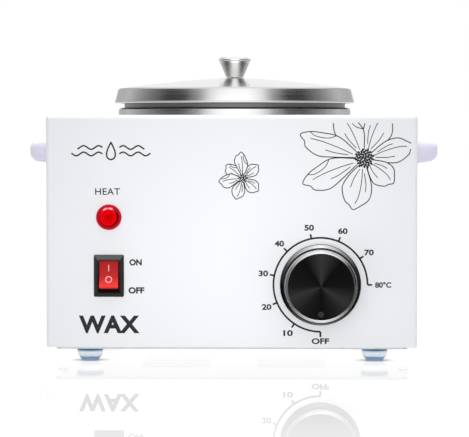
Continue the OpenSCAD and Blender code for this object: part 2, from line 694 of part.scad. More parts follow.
module wire_lamp_neutral() color("black") in_casing() swept([
    [switch_x + lamp_tag_x, lamp_end, lamp_z], [-60, -60, 62], [-74, -44, 59], [-88, -18, 64],
    [-88.5, 2, 78],
    [-85.5, 11, 84], [-80.5, 11.8, terminal_z + 2.4], [terminal_x, terminal_y, terminal_z + 1.9]], thin_r);
module wire_earth() color("yellowgreen") in_casing() swept([
    [-45, inlet_end, inlet_z + 2], [-45, 58, 33], [-33, 54, 40], [-16, 64, 44], [earth_x, 79, 44],
    [earth_x, 86, 40], [earth_x, half_d - 5.5, inlet_z + 5.7]], wire_r);
module capillary_tube() color("peru") in_casing() swept([
    [dial_x, -half_d + 20 - body_front + 0.3, dial_z - 4], [42, -62, 27], [24, -59, 28], [0, -60, 34],
    [-24, -56, 44], [-46, -44, 54], [-56, -32, 60], [-54, -25.5, 62.4],
    [-46, bulb_y, well_low - gap - bulb_r], [-20.1, bulb_y, well_low - gap - bulb_r]], thin_r);

// ---- pot and lid ----

pot_t = 1;
pot_floor_z = casing_h + pot_rise - pot_h;
rim_z = casing_h + pot_rise;
bead_r = 1.4;
module inner_pot() color("gainsboro") in_casing()
    rotate_extrude() polygon(concat(
        [[0, pot_floor_z]],
        arc(pot_r - 4, pot_floor_z + 4, 4, -90, 0),
        arc(pot_r + 0.2, rim_z - bead_r, bead_r, -98, 180, 16),
        arc(pot_r - pot_t - 3, pot_floor_z + 1.2 + 3, 3, 0, -90),
        [[0, pot_floor_z + 1.2]]));

lid_t = 0.8;
lid_hole_r = 2.2;
shoulder_r = 61.9;
skirt_z = casing_h + 6.4;
top_z = skirt_z + skirt_h;
dome_edge_r = shoulder_r - 1.3;
// The dome falls slowly near its middle and more steeply towards the shoulder.
function dome(r) = top_z + 0.55 + dome_h * (1 - pow(r / dome_edge_r, 1.45));
dome_steps = 24;
function dome_r(i) = lid_hole_r + (dome_edge_r - lid_hole_r) * i / dome_steps;

module lid_shell() color("silver") in_casing()
    rotate_extrude() polygon(concat(
        [for (i = [0:dome_steps]) [dome_r(i), dome(dome_r(i))]],
        arc(shoulder_r - 1.3, top_z - 0.75, 1.3, 80, 16, 6),
        [[lid_r - 0.15, skirt_z + 0.7], [lid_r, skirt_z + 0.5]],
        arc(lid_r - 0.4, skirt_z + 0.4, 0.4, 0, -180, 6),
        [[lid_r - 0.8 - 0.05, skirt_z + 0.7]],
        arc(shoulder_r - 1.3, top_z - 0.75, 0.5, 16, 80, 4),
        [for (i = [dome_steps:-1:0]) [dome_r(i), dome(dome_r(i)) - lid_t]]));

knob_seat = dome(lid_hole_r) + 0.05;
module lid_knob() color("silver") in_casing() translate([0, 0, knob_seat])
    difference() {
        rotate_extrude() polygon(concat(
            [[0, 0], [5.0, 0], [5.3, 0.2]],
            arc(8.3, lid_knob_h - 2, 0.5, -20, 60, 6),
            [for (i = [7:-1:0]) [i, lid_knob_h - 1.3 * pow(i / 8, 2)]]));
        translate([0, 0, -1]) cylinder(r = 2.0, h = 8.4);
    }

washer_top = dome(lid_hole_r) - lid_t - 0.1;
module lid_washer() color("silver") in_casing() tube(5, 2.15, washer_top - 0.8, washer_top);
module lid_screw() color("silver") in_casing() translate([0, 0, washer_top - 0.9])
    rotate([180, 0, 0]) pan_screw(1.95, 8, 3.5, 1.8);

casing_shell();
bottom_plate();
bottom_screws();
foot_front_left();
foot_front_right();
foot_rear_left();
foot_rear_right();
foot_fasteners();
handle_left();
handle_right();
handle_screws();
well_ring();
heating_well();
retaining_ring();
band_heater();
clamp_fasteners();
heater_terminals();
insulation_wrap();
insulation_pad();
pressure_plate();
stud_fasteners();
thermal_cutout();
thermostat_bulb();
capillary_tube();
thermostat_bracket();
thermostat_body();
thermostat_terminals();
thermostat_screws();
thermostat_spindle();
knob_body();
knob_insert();
knob_pointer();
switch_housing();
switch_terminals();
switch_rocker();
lamp_lens();
lamp_body();
lamp_nut();
neon_bulb();
inlet_body();
inlet_pins();
inlet_screws();
inlet_nuts();
earth_stud();
earth_nut();
wire_live_in();
wire_switch_out();
wire_thermostat_out();
wire_heater_live();
wire_neutral();
wire_lamp_live();
wire_lamp_neutral();
wire_earth();
wire_connectors();
inner_pot();
lid_shell();
lid_knob();
lid_washer();
lid_screw();
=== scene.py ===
"""Looks of a single-pot wax warmer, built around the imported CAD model.

Metres, +Z up, front panel facing -Y.
"""

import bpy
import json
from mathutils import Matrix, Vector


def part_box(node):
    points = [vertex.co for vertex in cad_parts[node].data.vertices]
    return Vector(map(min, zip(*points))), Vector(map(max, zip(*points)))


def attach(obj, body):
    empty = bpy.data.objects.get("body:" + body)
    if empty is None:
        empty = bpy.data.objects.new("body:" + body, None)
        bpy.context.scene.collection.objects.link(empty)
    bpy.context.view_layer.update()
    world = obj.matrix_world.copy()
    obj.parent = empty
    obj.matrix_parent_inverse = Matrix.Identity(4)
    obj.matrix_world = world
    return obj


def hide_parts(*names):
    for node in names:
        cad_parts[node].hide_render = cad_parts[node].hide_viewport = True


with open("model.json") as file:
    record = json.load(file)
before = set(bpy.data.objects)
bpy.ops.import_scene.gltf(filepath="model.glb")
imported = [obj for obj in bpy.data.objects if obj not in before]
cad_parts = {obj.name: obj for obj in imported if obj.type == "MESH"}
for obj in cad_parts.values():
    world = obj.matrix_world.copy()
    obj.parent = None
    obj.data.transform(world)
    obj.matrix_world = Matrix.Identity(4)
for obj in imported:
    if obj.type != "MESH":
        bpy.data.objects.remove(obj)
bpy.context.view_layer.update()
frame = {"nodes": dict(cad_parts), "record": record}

import json
import math

import bmesh
import bpy
from mathutils import Matrix, Vector

MM = 0.001
scene = bpy.context.scene

# ------------------------ places, all taken from the CAD model

case_low, case_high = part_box("casing_shell")
FRONT_Y = case_low.y
CASE_BOTTOM = case_low.z
CASE_TOP = case_high.z
POT_X = 0.0
POT_Y = (case_low.y + case_high.y) / 2


def middle(node):
    low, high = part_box(node)
    return (low + high) / 2


def radius_of(node):
    low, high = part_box(node)
    return (high.x - low.x) / 2 / MM


def panel_point(x, z, out=0.0):
    """A point of the front panel: millimetres from its middle, over its bottom edge, and out of its face."""
    return Vector((x * MM, FRONT_Y - out * MM, CASE_BOTTOM + z * MM))


# ------------------------ outlines

def filleted(corners, steps=5):
    """The open outline through corners (a, b, radius), each inner corner rounded by its own radius."""
    points = []
    for i, (a, b, radius) in enumerate(corners):
        here = Vector((a, b))
        if radius <= 0 or i in (0, len(corners) - 1):
            points.append(here)
            continue
        before = Vector(corners[i - 1][:2]) - here
        after = Vector(corners[i + 1][:2]) - here
        half = before.angle(after) / 2
        reach = min(radius / math.tan(half), 0.49 * before.length, 0.49 * after.length)
        real = reach * math.tan(half)
        start = here + before.normalized() * reach
        end = here + after.normalized() * reach
        towards = before.normalized() + after.normalized()
        centre = here + towards.normalized() * (real / math.sin(half))
        first = start - centre
        turn = math.atan2(first.cross(end - centre), first.dot(end - centre))
        for k in range(steps + 1):
            points.append(centre + Matrix.Rotation(turn * k / steps, 2) @ first)
    return [(p.x, p.y) for p in points]


def arc(a, b, radius, start, end, steps):
    """Points on a circle about (a, b), from one angle to another in degrees."""
    turn = [math.radians(start + (end - start) * k / steps) for k in range(steps + 1)]
    return [(a + radius * math.cos(t), b + radius * math.sin(t)) for t in turn]


def rounded_rectangle(width, height, radius, steps=4):
    a = width / 2 - radius
    b = height / 2 - radius
    corners = [(a, b, 0), (-a, b, 90), (-a, -b, 180), (a, -b, 270)]
    return [p for x, y, start in corners for p in arc(x, y, radius, start, start + 90, steps)]


# ------------------------ meshes

def to_mesh(bm, name):
    bmesh.ops.recalc_face_normals(bm, faces=bm.faces)
    mesh = bpy.data.meshes.new(name)
    bm.to_mesh(mesh)
    bm.free()
    return mesh


def upright(centre):
    """Places (radius, turn, height) about a vertical axis through centre."""
    def place(r, t, h):
        return centre + Vector((r * math.cos(t), r * math.sin(t), h)) * MM
    return place


def facing(centre):
    """The same about an axis along Y: height is measured out of the front panel."""
    def place(r, t, h):
        return centre + Vector((r * math.cos(t), -h, r * math.sin(t))) * MM
    return place


def lathe(name, profile, place, segments=144, closed=False):
    """Turns a profile of (radius, height) about the axis that place() describes."""
    bm = bmesh.new()
    rings = []
    for r, h in profile:
        if r < 1e-6:
            rings.append([bm.verts.new(place(0, 0, h))])
        else:
            rings.append([bm.verts.new(place(r, 2 * math.pi * k / segments, h)) for k in range(segments)])
    pairs = list(zip(rings, rings[1:]))
    if closed:
        pairs.append((rings[-1], rings[0]))
    for one, two in pairs:
        for k in range(segments):
            n = (k + 1) % segments
            corners = [one[k % len(one)], one[n % len(one)], two[n % len(two)], two[k % len(two)]]
            unique = list(dict.fromkeys(corners))
            if len(unique) > 2:
                bm.faces.new(unique)
    return to_mesh(bm, name)


def join_rings(bm, rings, closed=False):
    """Quads between rings of equal length; the first and last rings are capped unless the strip is closed."""
    pairs = list(zip(rings, rings[1:]))
    if closed:
        pairs.append((rings[-1], rings[0]))
    for one, two in pairs:
        for k in range(len(one)):
            n = (k + 1) % len(one)
            bm.faces.new([one[k], one[n], two[n], two[k]])
    if not closed:
        bm.faces.new(rings[0])
        bm.faces.new(rings[-1])


def loft(name, loops):
    bm = bmesh.new()
    join_rings(bm, [[bm.verts.new(p) for p in loop] for loop in loops])
    return to_mesh(bm, name)


def add_object(name, data):
    added = bpy.data.objects.new(name, data)
    scene.collection.objects.link(added)
    return added


def settled_mesh(made):
    """The bare mesh of an object, with its text or cuts worked out. The object itself is removed."""
    bpy.context.view_layer.update()
    mesh = bpy.data.meshes.new_from_object(made.evaluated_get(bpy.context.evaluated_depsgraph_get()))
    bpy.data.objects.remove(made)
    mesh.materials.clear()
    return mesh


def add_piece(name, mesh, body, material, replaces=(), sharp=32):
    """Smooths a mesh except at edges sharper than so many degrees, and gives it its body, look and slot."""
    piece = add_object(name, mesh)
    mesh.materials.append(material)
    for polygon in mesh.polygons:
        polygon.use_smooth = True
    mesh.set_sharp_from_angle(angle=math.radians(sharp))
    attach(piece, body)
    if replaces:
        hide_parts(*replaces)


# ------------------------ materials

def feed(tree, socket, value):
    """Sets an input of a node to a value, or links another node's output to it."""
    if isinstance(value, bpy.types.NodeSocket):
        tree.links.new(value, socket)
    else:
        socket.default_value = value


def add_node(tree, kind, **inputs):
    node = tree.nodes.new("ShaderNode" + kind)
    for name, value in inputs.items():
        feed(tree, node.inputs[name.replace("_", " ")], value)
    return node


def vector_math(tree, operation, one, two=(0, 0, 0)):
    node = tree.nodes.new("ShaderNodeVectorMath")
    node.operation = operation
    feed(tree, node.inputs[0], one)
    feed(tree, node.inputs[1], two)
    return node.outputs["Value" if operation == "LENGTH" else "Vector"]


def mixed(tree, amount, one, two):
    """Colour one where amount is black, colour two where it is white."""
    node = tree.nodes.new("ShaderNodeMix")
    node.data_type = "RGBA"
    for name, value in (("Factor", amount), ("A", one), ("B", two)):
        feed(tree, node.inputs[name], value)
    return node.outputs["Result"]


def ramp(tree, value, stops):
    """The colour that a number between 0 and 1 picks from stops of (number, colour)."""
    node = add_node(tree, "ValToRGB", Fac=value)
    while len(node.color_ramp.elements) < len(stops):
        node.color_ramp.elements.new(0.5)
    for element, (at, colour) in zip(node.color_ramp.elements, stops):
        element.position = at
        element.color = (*colour, 1.0)
    return node.outputs["Color"]


def shade(colour, amount):
    return tuple(max(0.0, min(1.0, c * amount)) for c in colour)


def grey(value):
    return (value, value, value)


def greys(*stops):
    return [(at, grey(value)) for at, value in stops]


def noise(tree, place, scale):
    return add_node(tree, "TexNoise", Vector=place, Scale=scale, Detail=4.0, Roughness=0.55).outputs["Fac"]


def turned(tree, place, centre, axis):
    """(distance from the axis, height along it, 0): noise over it draws lathe lines round the axis."""
    shift = vector_math(tree, "SUBTRACT", place, centre)
    flat = vector_math(tree, "MULTIPLY", shift, (1, 1, 0) if axis == "Z" else (1, 0, 1))
    height = add_node(tree, "SeparateXYZ", Vector=shift).outputs[axis]
    return add_node(tree, "CombineXYZ", X=vector_math(tree, "LENGTH", flat), Y=height).outputs["Vector"]


def surface(name, colour, rough, metallic=0.0, vary=0.04, vary_scale=60.0, rough_vary=0.05, grain=0.02,
            grain_scale=1500.0, grain_depth=0.03, turned_about=None, streak=None, **sockets):
    """A procedural finish: colour mottling, uneven gloss and fine relief, all at sizes in metres."""
    material = bpy.data.materials.new(name)
    material.use_nodes = True
    tree = material.node_tree
    place = add_node(tree, "TexCoord").outputs["Object"]
    fine = place
    if turned_about:
        fine = turned(tree, place, *turned_about)
    if streak:
        fine = vector_math(tree, "MULTIPLY", place, streak)
    tones = [(0.3, shade(colour, 1 - vary)), (0.7, shade(colour, 1 + vary))]
    gloss = greys((0.3, max(0.02, rough - rough_vary)), (0.7, min(1.0, rough + rough_vary)))
    relief = add_node(tree, "Bump", Strength=grain, Distance=grain_depth * MM,
                      Height=noise(tree, fine, grain_scale))
    sockets["Metallic"] = metallic
    sockets["Base_Color"] = ramp(tree, noise(tree, place, vary_scale), tones)
    sockets["Roughness"] = ramp(tree, noise(tree, fine, grain_scale * 0.35), gloss)
    sockets["Normal"] = relief.outputs["Normal"]
    for socket, value in sockets.items():
        feed(tree, tree.nodes["Principled BSDF"].inputs[socket.replace("_", " ")], value)
    return material


# Numbers that the colour of a finish can follow: a height, a distance from an axis and a turn about one.

def object_place(material):
    return material.node_tree.nodes["Texture Coordinate"].outputs["Object"]


def height_in(material):
    return add_node(material.node_tree, "SeparateXYZ", Vector=object_place(material)).outputs["Z"]


def distance_in(material, centre, axis):
    flat = turned(material.node_tree, object_place(material), centre, axis)
    return add_node(material.node_tree, "SeparateXYZ", Vector=flat).outputs["X"]


def turn_in(material, centre):
    """The turn about an axis along Y, measured in the room.

    So the painted light and shade of a turned part stay where they are when it turns, as reflections do.
    """
    tree = material.node_tree
    shift = vector_math(tree, "SUBTRACT", add_node(tree, "NewGeometry").outputs["Position"], centre)
    parts = add_node(tree, "SeparateXYZ", Vector=shift)
    angle = tree.nodes.new("ShaderNodeMath")
    angle.operation = "ARCTAN2"
    feed(tree, angle.inputs[0], parts.outputs["Z"])
    feed(tree, angle.inputs[1], parts.outputs["X"])
    return angle.outputs[0]


def stepped(material, value, low, high, stops):
    """The colours of a ramp along a number that runs from low to high."""
    reach = add_node(material.node_tree, "MapRange", Value=value, From_Min=low, From_Max=high)
    return ramp(material.node_tree, reach.outputs["Result"], stops)


def coloured(material, colour, glow=0.0):
    """Gives a finish the colour of a node's output; with glow, the same colour also shines."""
    inputs = material.node_tree.nodes["Principled BSDF"].inputs
    feed(material.node_tree, inputs["Base Color"], colour)
    if glow:
        feed(material.node_tree, inputs["Emission Color"], colour)
        inputs["Emission Strength"].default_value = glow


def graded(material, value, low, high, stops, glow=0.0):
    """Makes the colour of a finish follow a number."""
    coloured(material, stepped(material, value, low, high, stops), glow)


def graded_round(material, centre, stops):
    """Makes the colour of a finish follow the turn about an axis; stops are fractions of a full turn."""
    graded(material, turn_in(material, centre), -math.pi, math.pi, stops)


pot_axis = ((POT_X, POT_Y, 0), "Z")
knob_middle = middle("knob_body")
knob_axis = (tuple(knob_middle), "Y")
lamp_middle = middle("lamp_lens")
lamp_axis = (tuple(lamp_middle), "Y")

FINISH = {
    "enamel_white": surface(
        "enamel", (0.724, 0.733, 0.758), 0.34, vary=0.006, vary_scale=12, rough_vary=0.03,
        grain=0.035, grain_scale=450, grain_depth=0.02, Coat_Weight=0.25, Coat_Roughness=0.20),
    "zinc_sheet": surface(
        "zinc_sheet", (0.56, 0.57, 0.58), 0.38, 1.0, vary=0.10, vary_scale=220, rough_vary=0.10,
        grain=0.12, grain_scale=2500, streak=(1, 14, 14)),
    "fastener_steel": surface(
        "fastener_steel", (0.60, 0.60, 0.61), 0.30, 1.0, vary=0.06, vary_scale=400,
        grain=0.08, grain_scale=4000),
    "foot_blue": surface(
        "foot_soft_blue", (0.80, 0.93, 1.0), 0.05, vary=0.04, vary_scale=120, rough_vary=0.02,
        grain=0.03, grain_scale=400, Transmission_Weight=0.45, IOR=1.42),
    "handle_white": surface(
        "handle_plastic", (0.70, 0.685, 0.83), 0.34, vary=0.012, vary_scale=40, rough_vary=0.04,
        grain=0.08, grain_scale=2600, Subsurface_Weight=0.15, Subsurface_Scale=0.004),
    "stainless": surface(
        "spun_stainless", (0.74, 0.74, 0.75), 0.17, 1.0, vary=0.02, vary_scale=90,
        grain=0.10, grain_scale=2600, grain_depth=0.02, turned_about=pot_axis),
    "pot_aluminium": surface(
        "spun_aluminium", (0.79, 0.79, 0.80), 0.30, 1.0, vary=0.03, vary_scale=70, rough_vary=0.07,
        grain=0.22, grain_scale=1600, turned_about=pot_axis),
    "heater_steel": surface(
        "heater_steel", (0.44, 0.41, 0.37), 0.42, 1.0, vary=0.16, vary_scale=90, rough_vary=0.1,
        grain=0.15, grain_scale=1800, turned_about=pot_axis),
    "ceramic_white": surface("ceramic", (0.86, 0.83, 0.76), 0.30, vary=0.03, vary_scale=300, grain=0.05),
    "insulation_wool": surface(
        "glass_wool", (0.84, 0.79, 0.62), 0.95, vary=0.14, vary_scale=350, grain=0.9, grain_scale=1100,
        grain_depth=0.5, Sheen_Weight=0.4),
    "tin_tags": surface(
        "tinned_brass", (0.78, 0.70, 0.48), 0.30, 1.0, vary=0.08, vary_scale=500, grain=0.08),
    "copper": surface("copper", (0.72, 0.40, 0.27), 0.30, 1.0, vary=0.12, vary_scale=250, grain=0.10),
    "bakelite": surface("phenolic", (0.10, 0.045, 0.025), 0.38, vary=0.25, vary_scale=260, grain=0.10),
    "shaft_steel": surface(
        "turned_steel", (0.62, 0.62, 0.63), 0.26, 1.0, vary=0.04, vary_scale=300, grain=0.12,
        turned_about=knob_axis),
    "knob_silver": surface(
        "knob_silver", (0.80, 0.80, 0.81), 0.13, 1.0, vary=0.02, vary_scale=200, rough_vary=0.04,
        grain=0.10, grain_scale=3000, grain_depth=0.02, turned_about=knob_axis),
    "pointer_grey": surface(
        "pointer_grey", (0.020, 0.020, 0.022), 0.40, vary=0.06, vary_scale=900, grain=0.06,
        grain_scale=5000, Specular_IOR_Level=0.15),
    "switch_black": surface(
        "switch_black", (0.020, 0.021, 0.022), 0.42, vary=0.10, vary_scale=300, grain=0.16,
        grain_scale=5200, grain_depth=0.02, Specular_IOR_Level=0.3),
    "nylon_white": surface("nylon", (0.82, 0.81, 0.74), 0.45, vary=0.03, vary_scale=200, grain=0.08),
    "neon_orange": surface(
        "neon_glass", (1.0, 0.50, 0.22), 0.08, vary=0.05, vary_scale=200, grain=0.03,
        Emission_Color=(1.0, 0.22, 0.06, 1), Emission_Strength=3.0),
    "inlet_black": surface(
        "inlet_black", (0.022, 0.022, 0.024), 0.48, vary=0.12, vary_scale=240, grain=0.30,
        grain_scale=3200),
    "cutout_steel": surface(
        "pressed_steel", (0.42, 0.41, 0.39), 0.40, 1.0, vary=0.10, vary_scale=240, grain=0.10),
}
WIRE_COLOURS = {
    "wire_brown": (0.085, 0.035, 0.016), "wire_red": (0.42, 0.02, 0.018), "wire_blue": (0.02, 0.06, 0.42),
    "wire_black": (0.012, 0.012, 0.013), "wire_green": (0.16, 0.40, 0.03)}
for wire, colour in WIRE_COLOURS.items():
    FINISH[wire] = surface(wire, colour, 0.42, vary=0.07, vary_scale=200, grain=0.10, grain_scale=2400)

# Sides of a turned or square part, as fractions of a full turn from its left-hand side by way of below.
LEFT, LOWER, RIGHT, UPPER, LEFT_AGAIN = 0.0, 0.25, 0.5, 0.75, 1.0

# The four sloping sides of the switch's frame meet in mitres, each painted its own grey: a painted highlight
# on the upper one, and painted shade on the others, darkest on the lower one.
frame_finish = surface(
    "frame_black", (0.02, 0.02, 0.02), 0.38, grain=0.14, grain_scale=5200, grain_depth=0.02,
    Specular_IOR_Level=0.2)
FRAME_CORNERS = (0.146, 0.156, 0.344, 0.354, 0.646, 0.656, 0.844, 0.854)
FRAME_PAINTED_SHADES = (0.018, 0.008, 0.008, 0.018, 0.018, 0.085, 0.085, 0.018)
graded_round(frame_finish, tuple(middle("switch_housing")), greys(*zip(FRAME_CORNERS, FRAME_PAINTED_SHADES)))

ink = surface(
    "panel_ink", (0.016, 0.016, 0.019), 0.55, vary=0.15, vary_scale=700, grain=0.12, grain_scale=4000,
    Specular_IOR_Level=0.25)
fine_ink = surface(
    "fine_ink", (0.012, 0.012, 0.014), 0.55, vary=0.25, vary_scale=300, grain=0.12, grain_scale=4000,
    Specular_IOR_Level=0.25)
mark_ink = surface("mark_ink", (0.90, 0.46, 0.46), 0.45, vary=0.05, vary_scale=700, grain=0.08)

rocker_low, rocker_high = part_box("switch_rocker")
rocker_painted_light_finish = surface(
    "rocker_red", (0.5, 0.02, 0.02), 0.32, rough_vary=0.03, grain=0.05, grain_scale=3000,
    Specular_IOR_Level=0.12)
FINISH["rocker_red"] = rocker_painted_light_finish
# Painted light: the rocker's colour follows its height, with a painted highlight on its protruding lower
# nose, painted shade at its bottom edge and towards its top, and a faint painted glow in the same colours.
graded(rocker_painted_light_finish, height_in(rocker_painted_light_finish), rocker_low.z, rocker_high.z,
       [(0.0, (0.30, 0.008, 0.008)), (0.10, (0.72, 0.035, 0.033)), (0.22, (0.62, 0.028, 0.026)),
        (0.45, (0.40, 0.013, 0.014)), (1.0, (0.30, 0.009, 0.010))], glow=0.16)

# The grips are painted palest along the top: a painted highlight where the top faces the light.
grip_low, grip_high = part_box("handle_right")
graded(FINISH["handle_white"], height_in(FINISH["handle_white"]), grip_low.z, grip_high.z,
       [(0.0, (0.68, 0.665, 0.81)), (0.55, (0.70, 0.685, 0.83)), (0.70, (0.80, 0.79, 0.90)),
        (0.84, (0.97, 0.965, 1.0)), (1.0, (1.0, 1.0, 1.0))])

# Each foot's colour is painted by height: a dark band at the top stands for the screw head and its shade seen
# through the foot, a painted white highlight runs across the middle, and painted shade makes the rounded
# bottom edge deeper blue. The feet also have a faint painted glow.
FOOT_H = 8.0 * MM
graded(FINISH["foot_blue"], height_in(FINISH["foot_blue"]), 0.0, FOOT_H,
       [(0.0, (0.62, 0.75, 0.88)), (0.10, (0.30, 0.46, 0.68)), (0.22, (0.22, 0.38, 0.60)),
        (0.33, (0.84, 0.92, 0.98)), (0.54, (0.94, 0.97, 1.0)), (0.62, (0.45, 0.62, 0.80)),
        (0.69, (0.04, 0.12, 0.26)), (1.0, (0.03, 0.09, 0.20))], glow=0.10)

# The lens has moulded rings, brighter towards its edge, and a crimson skirt. The step around its face
# has two painted highlight arcs above and painted shade on the right.
lens_finish = surface(
    "lens_red", (0.7, 0.0, 0.0), 0.14, rough_vary=0.03, grain=0.04, Specular_IOR_Level=0.02)
LENS_R = 6.4 * MM
lens_across = distance_in(lens_finish, *lamp_axis)
lens_rings = stepped(lens_finish, lens_across, 0.0, LENS_R,
                     [(0.0, (0.22, 0.0, 0.0)), (0.10, (0.26, 0.0, 0.0)), (0.20, (0.44, 0.0, 0.0)),
                      (0.29, (0.30, 0.0, 0.0)), (0.38, (0.52, 0.0, 0.002)), (0.47, (0.36, 0.0, 0.0)),
                      (0.58, (0.60, 0.0, 0.002)), (0.69, (0.16, 0.0, 0.004)), (0.76, (0.26, 0.002, 0.010)),
                      (1.0, (0.36, 0.008, 0.024))])
lens_step_painted_mask = stepped(lens_finish, lens_across, 0.0, LENS_R,
                    greys((0.62, 0.0), (0.67, 1.0), (0.73, 1.0), (0.79, 0.0)))
lens_painted_light = stepped(lens_finish, turn_in(lens_finish, lamp_axis[0]), -math.pi, math.pi,
                    [(LEFT, (0.36, 0.0, 0.004)), (0.20, (0.22, 0.0, 0.002)), (0.40, (0.08, 0.0, 0.0)),
                     (0.56, (0.03, 0.0, 0.0)), (0.66, (0.30, 0.02, 0.03)), (0.71, (1.0, 0.42, 0.42)),
                     (0.76, (0.55, 0.08, 0.09)), (0.81, (1.0, 0.36, 0.36)), (0.87, (0.40, 0.01, 0.02)),
                     (LEFT_AGAIN, (0.36, 0.0, 0.004))])
coloured(lens_finish, mixed(lens_finish.node_tree, lens_step_painted_mask, lens_rings, lens_painted_light), glow=0.55)
FINISH["lens_red"] = lens_finish

# Black lacquer over a spun disc, with three soft fans painted into its colour: painted highlights that stand
# for the reflections such a finish shows.
FINISH["knob_black"] = surface(
    "spun_black", (0.010, 0.010, 0.0105), 0.40, rough_vary=0.06, grain=0.35, grain_scale=2600,
    grain_depth=0.02, turned_about=knob_axis, Anisotropic=0.6, Specular_IOR_Level=0.05)
graded_round(FINISH["knob_black"], knob_axis[0], greys(
    (LEFT, 0.005), (0.055, 0.023), (0.15, 0.006), (0.26, 0.001), (0.33, 0.007), (0.41, 0.023), (RIGHT, 0.003),
    (0.64, 0.001), (0.745, 0.025), (0.84, 0.001), (LEFT_AGAIN, 0.005)))

# The lid's grip is a lighter copy of the lid's steel, painted light so that it looks more strongly lit than
# the lid.
grip_lit_copy = surface(
    "brightened_grip_steel", (0.95, 0.94, 0.92), 0.15, 1.0, vary=0.02, vary_scale=90, rough_vary=0.04,
    grain=0.08, grain_scale=2600, grain_depth=0.02, turned_about=pot_axis)

# The knob's plating carries painted reflections: pale above and below and nearly black at its sides.
bezel_finish = surface(
    "plated_rim", (0.7, 0.7, 0.7), 0.16, 1.0, rough_vary=0.04, grain=0.10, grain_scale=3000,
    grain_depth=0.02, turned_about=knob_axis)
graded_round(bezel_finish, knob_axis[0], greys(
    (LEFT, 0.16), (0.10, 0.13), (0.19, 0.52), (LOWER, 0.80), (0.31, 0.54), (0.40, 0.09), (RIGHT, 0.08),
    (0.60, 0.12), (0.67, 0.66), (UPPER, 1.0), (0.83, 0.72), (0.91, 0.28), (LEFT_AGAIN, 0.16)))
# The skirt carries the same kind of painted reflection, darker overall.
skirt_finish = surface(
    "painted_reflection_plating", (0.1, 0.1, 0.1), 0.40, Specular_IOR_Level=0.0, grain=0.10, grain_scale=3000,
    grain_depth=0.02, turned_about=knob_axis)
graded_round(skirt_finish, knob_axis[0], greys(
    (LEFT, 0.004), (0.09, 0.006), (0.17, 0.10), (LOWER, 0.20), (0.33, 0.07), (0.42, 0.010), (RIGHT, 0.008),
    (0.58, 0.03), (0.66, 0.28), (UPPER, 0.82), (0.84, 0.38), (0.92, 0.06), (LEFT_AGAIN, 0.004)))
groove_finish = surface(
    "groove_black", (0.008, 0.008, 0.008), 0.5, vary=0.2, vary_scale=500, grain=0.1,
    grain_scale=3000, turned_about=knob_axis, Specular_IOR_Level=0.1)

# The pot is bright metal, apart from the outer edge of its rolled rim, which is darkened as painted shade
# under the lid.
RIM_MIDDLE_R = 57.5 * MM
RIM_OUTSIDE_R = 58.9 * MM
graded(FINISH["pot_aluminium"], distance_in(FINISH["pot_aluminium"], *pot_axis), RIM_MIDDLE_R, RIM_OUTSIDE_R,
       greys((0.0, 0.78), (0.45, 0.76), (0.7, 0.20), (1.0, 0.16)))

NODE_SLOT = {row["node"]: row["material_slot"] for row in frame["record"]["subparts"]}
for node, obj in frame["nodes"].items():
    for holder in obj.material_slots:
        holder.material = FINISH[NODE_SLOT[node]]


# ------------------------ camera, floor and light

def aim(obj, target):
    obj.rotation_euler = (target - obj.location).to_track_quat("-Z", "Y").to_euler()


CAMERA_ASIDE = 24 * MM
CAMERA_BACK = 1.25
CAMERA_HEIGHT = 119.5 * MM
LOOKED_AT = Vector((1.5 * MM, FRONT_Y, 72.5 * MM))

camera = add_object("camera", bpy.data.cameras.new("camera"))
camera.data.sensor_width = 36
camera.data.lens = 193
camera.location = (CAMERA_ASIDE, FRONT_Y - CAMERA_BACK, CAMERA_HEIGHT)
aim(camera, LOOKED_AT)
camera.data.clip_start = 0.05
camera.data.clip_end = 50
scene.camera = camera


def make_floor():
    """White glossy floor with a painted contact shadow close to the feet; its mirror image fades towards the
    front.
    """
    bm = bmesh.new()
    bmesh.ops.create_grid(bm, x_segments=2, y_segments=2, size=6)
    mesh = to_mesh(bm, "floor")
    floor = add_object("floor", mesh)
    material = bpy.data.materials.new("floor_white")
    material.use_nodes = True
    tree = material.node_tree
    tree.nodes.remove(tree.nodes["Principled BSDF"])
    contact = add_node(tree, "AmbientOcclusion", Distance=7 * MM)
    contact.samples = 16
    painted_contact_shadow = ramp(tree, contact.outputs["AO"],
                  [(0.0, (0.10, 0.09, 0.09)), (0.55, (0.50, 0.50, 0.51)), (0.92, grey(1.0))])
    glow = add_node(tree, "Emission", Color=painted_contact_shadow, Strength=1.12)
    gloss = add_node(tree, "BsdfGlossy", Color=(1, 1, 1, 1), Roughness=0.012)
    place = add_node(tree, "SeparateXYZ", Vector=add_node(tree, "TexCoord").outputs["Object"])
    nearness = add_node(tree, "MapRange", Value=place.outputs["Y"],
                        From_Min=FRONT_Y + 0.05, From_Max=FRONT_Y - 0.45)
    mirror = ramp(tree, nearness.outputs["Result"],
                  greys((0.0, 0.20), (0.12, 0.28), (0.27, 0.34), (0.50, 0.34), (0.92, 0.17)))
    mix = add_node(tree, "MixShader", Fac=mirror)
    feed(tree, mix.inputs[1], glow.outputs[0])
    feed(tree, mix.inputs[2], gloss.outputs[0])
    feed(tree, tree.nodes["Material Output"].inputs["Surface"], mix.outputs[0])
    mesh.materials.append(material)


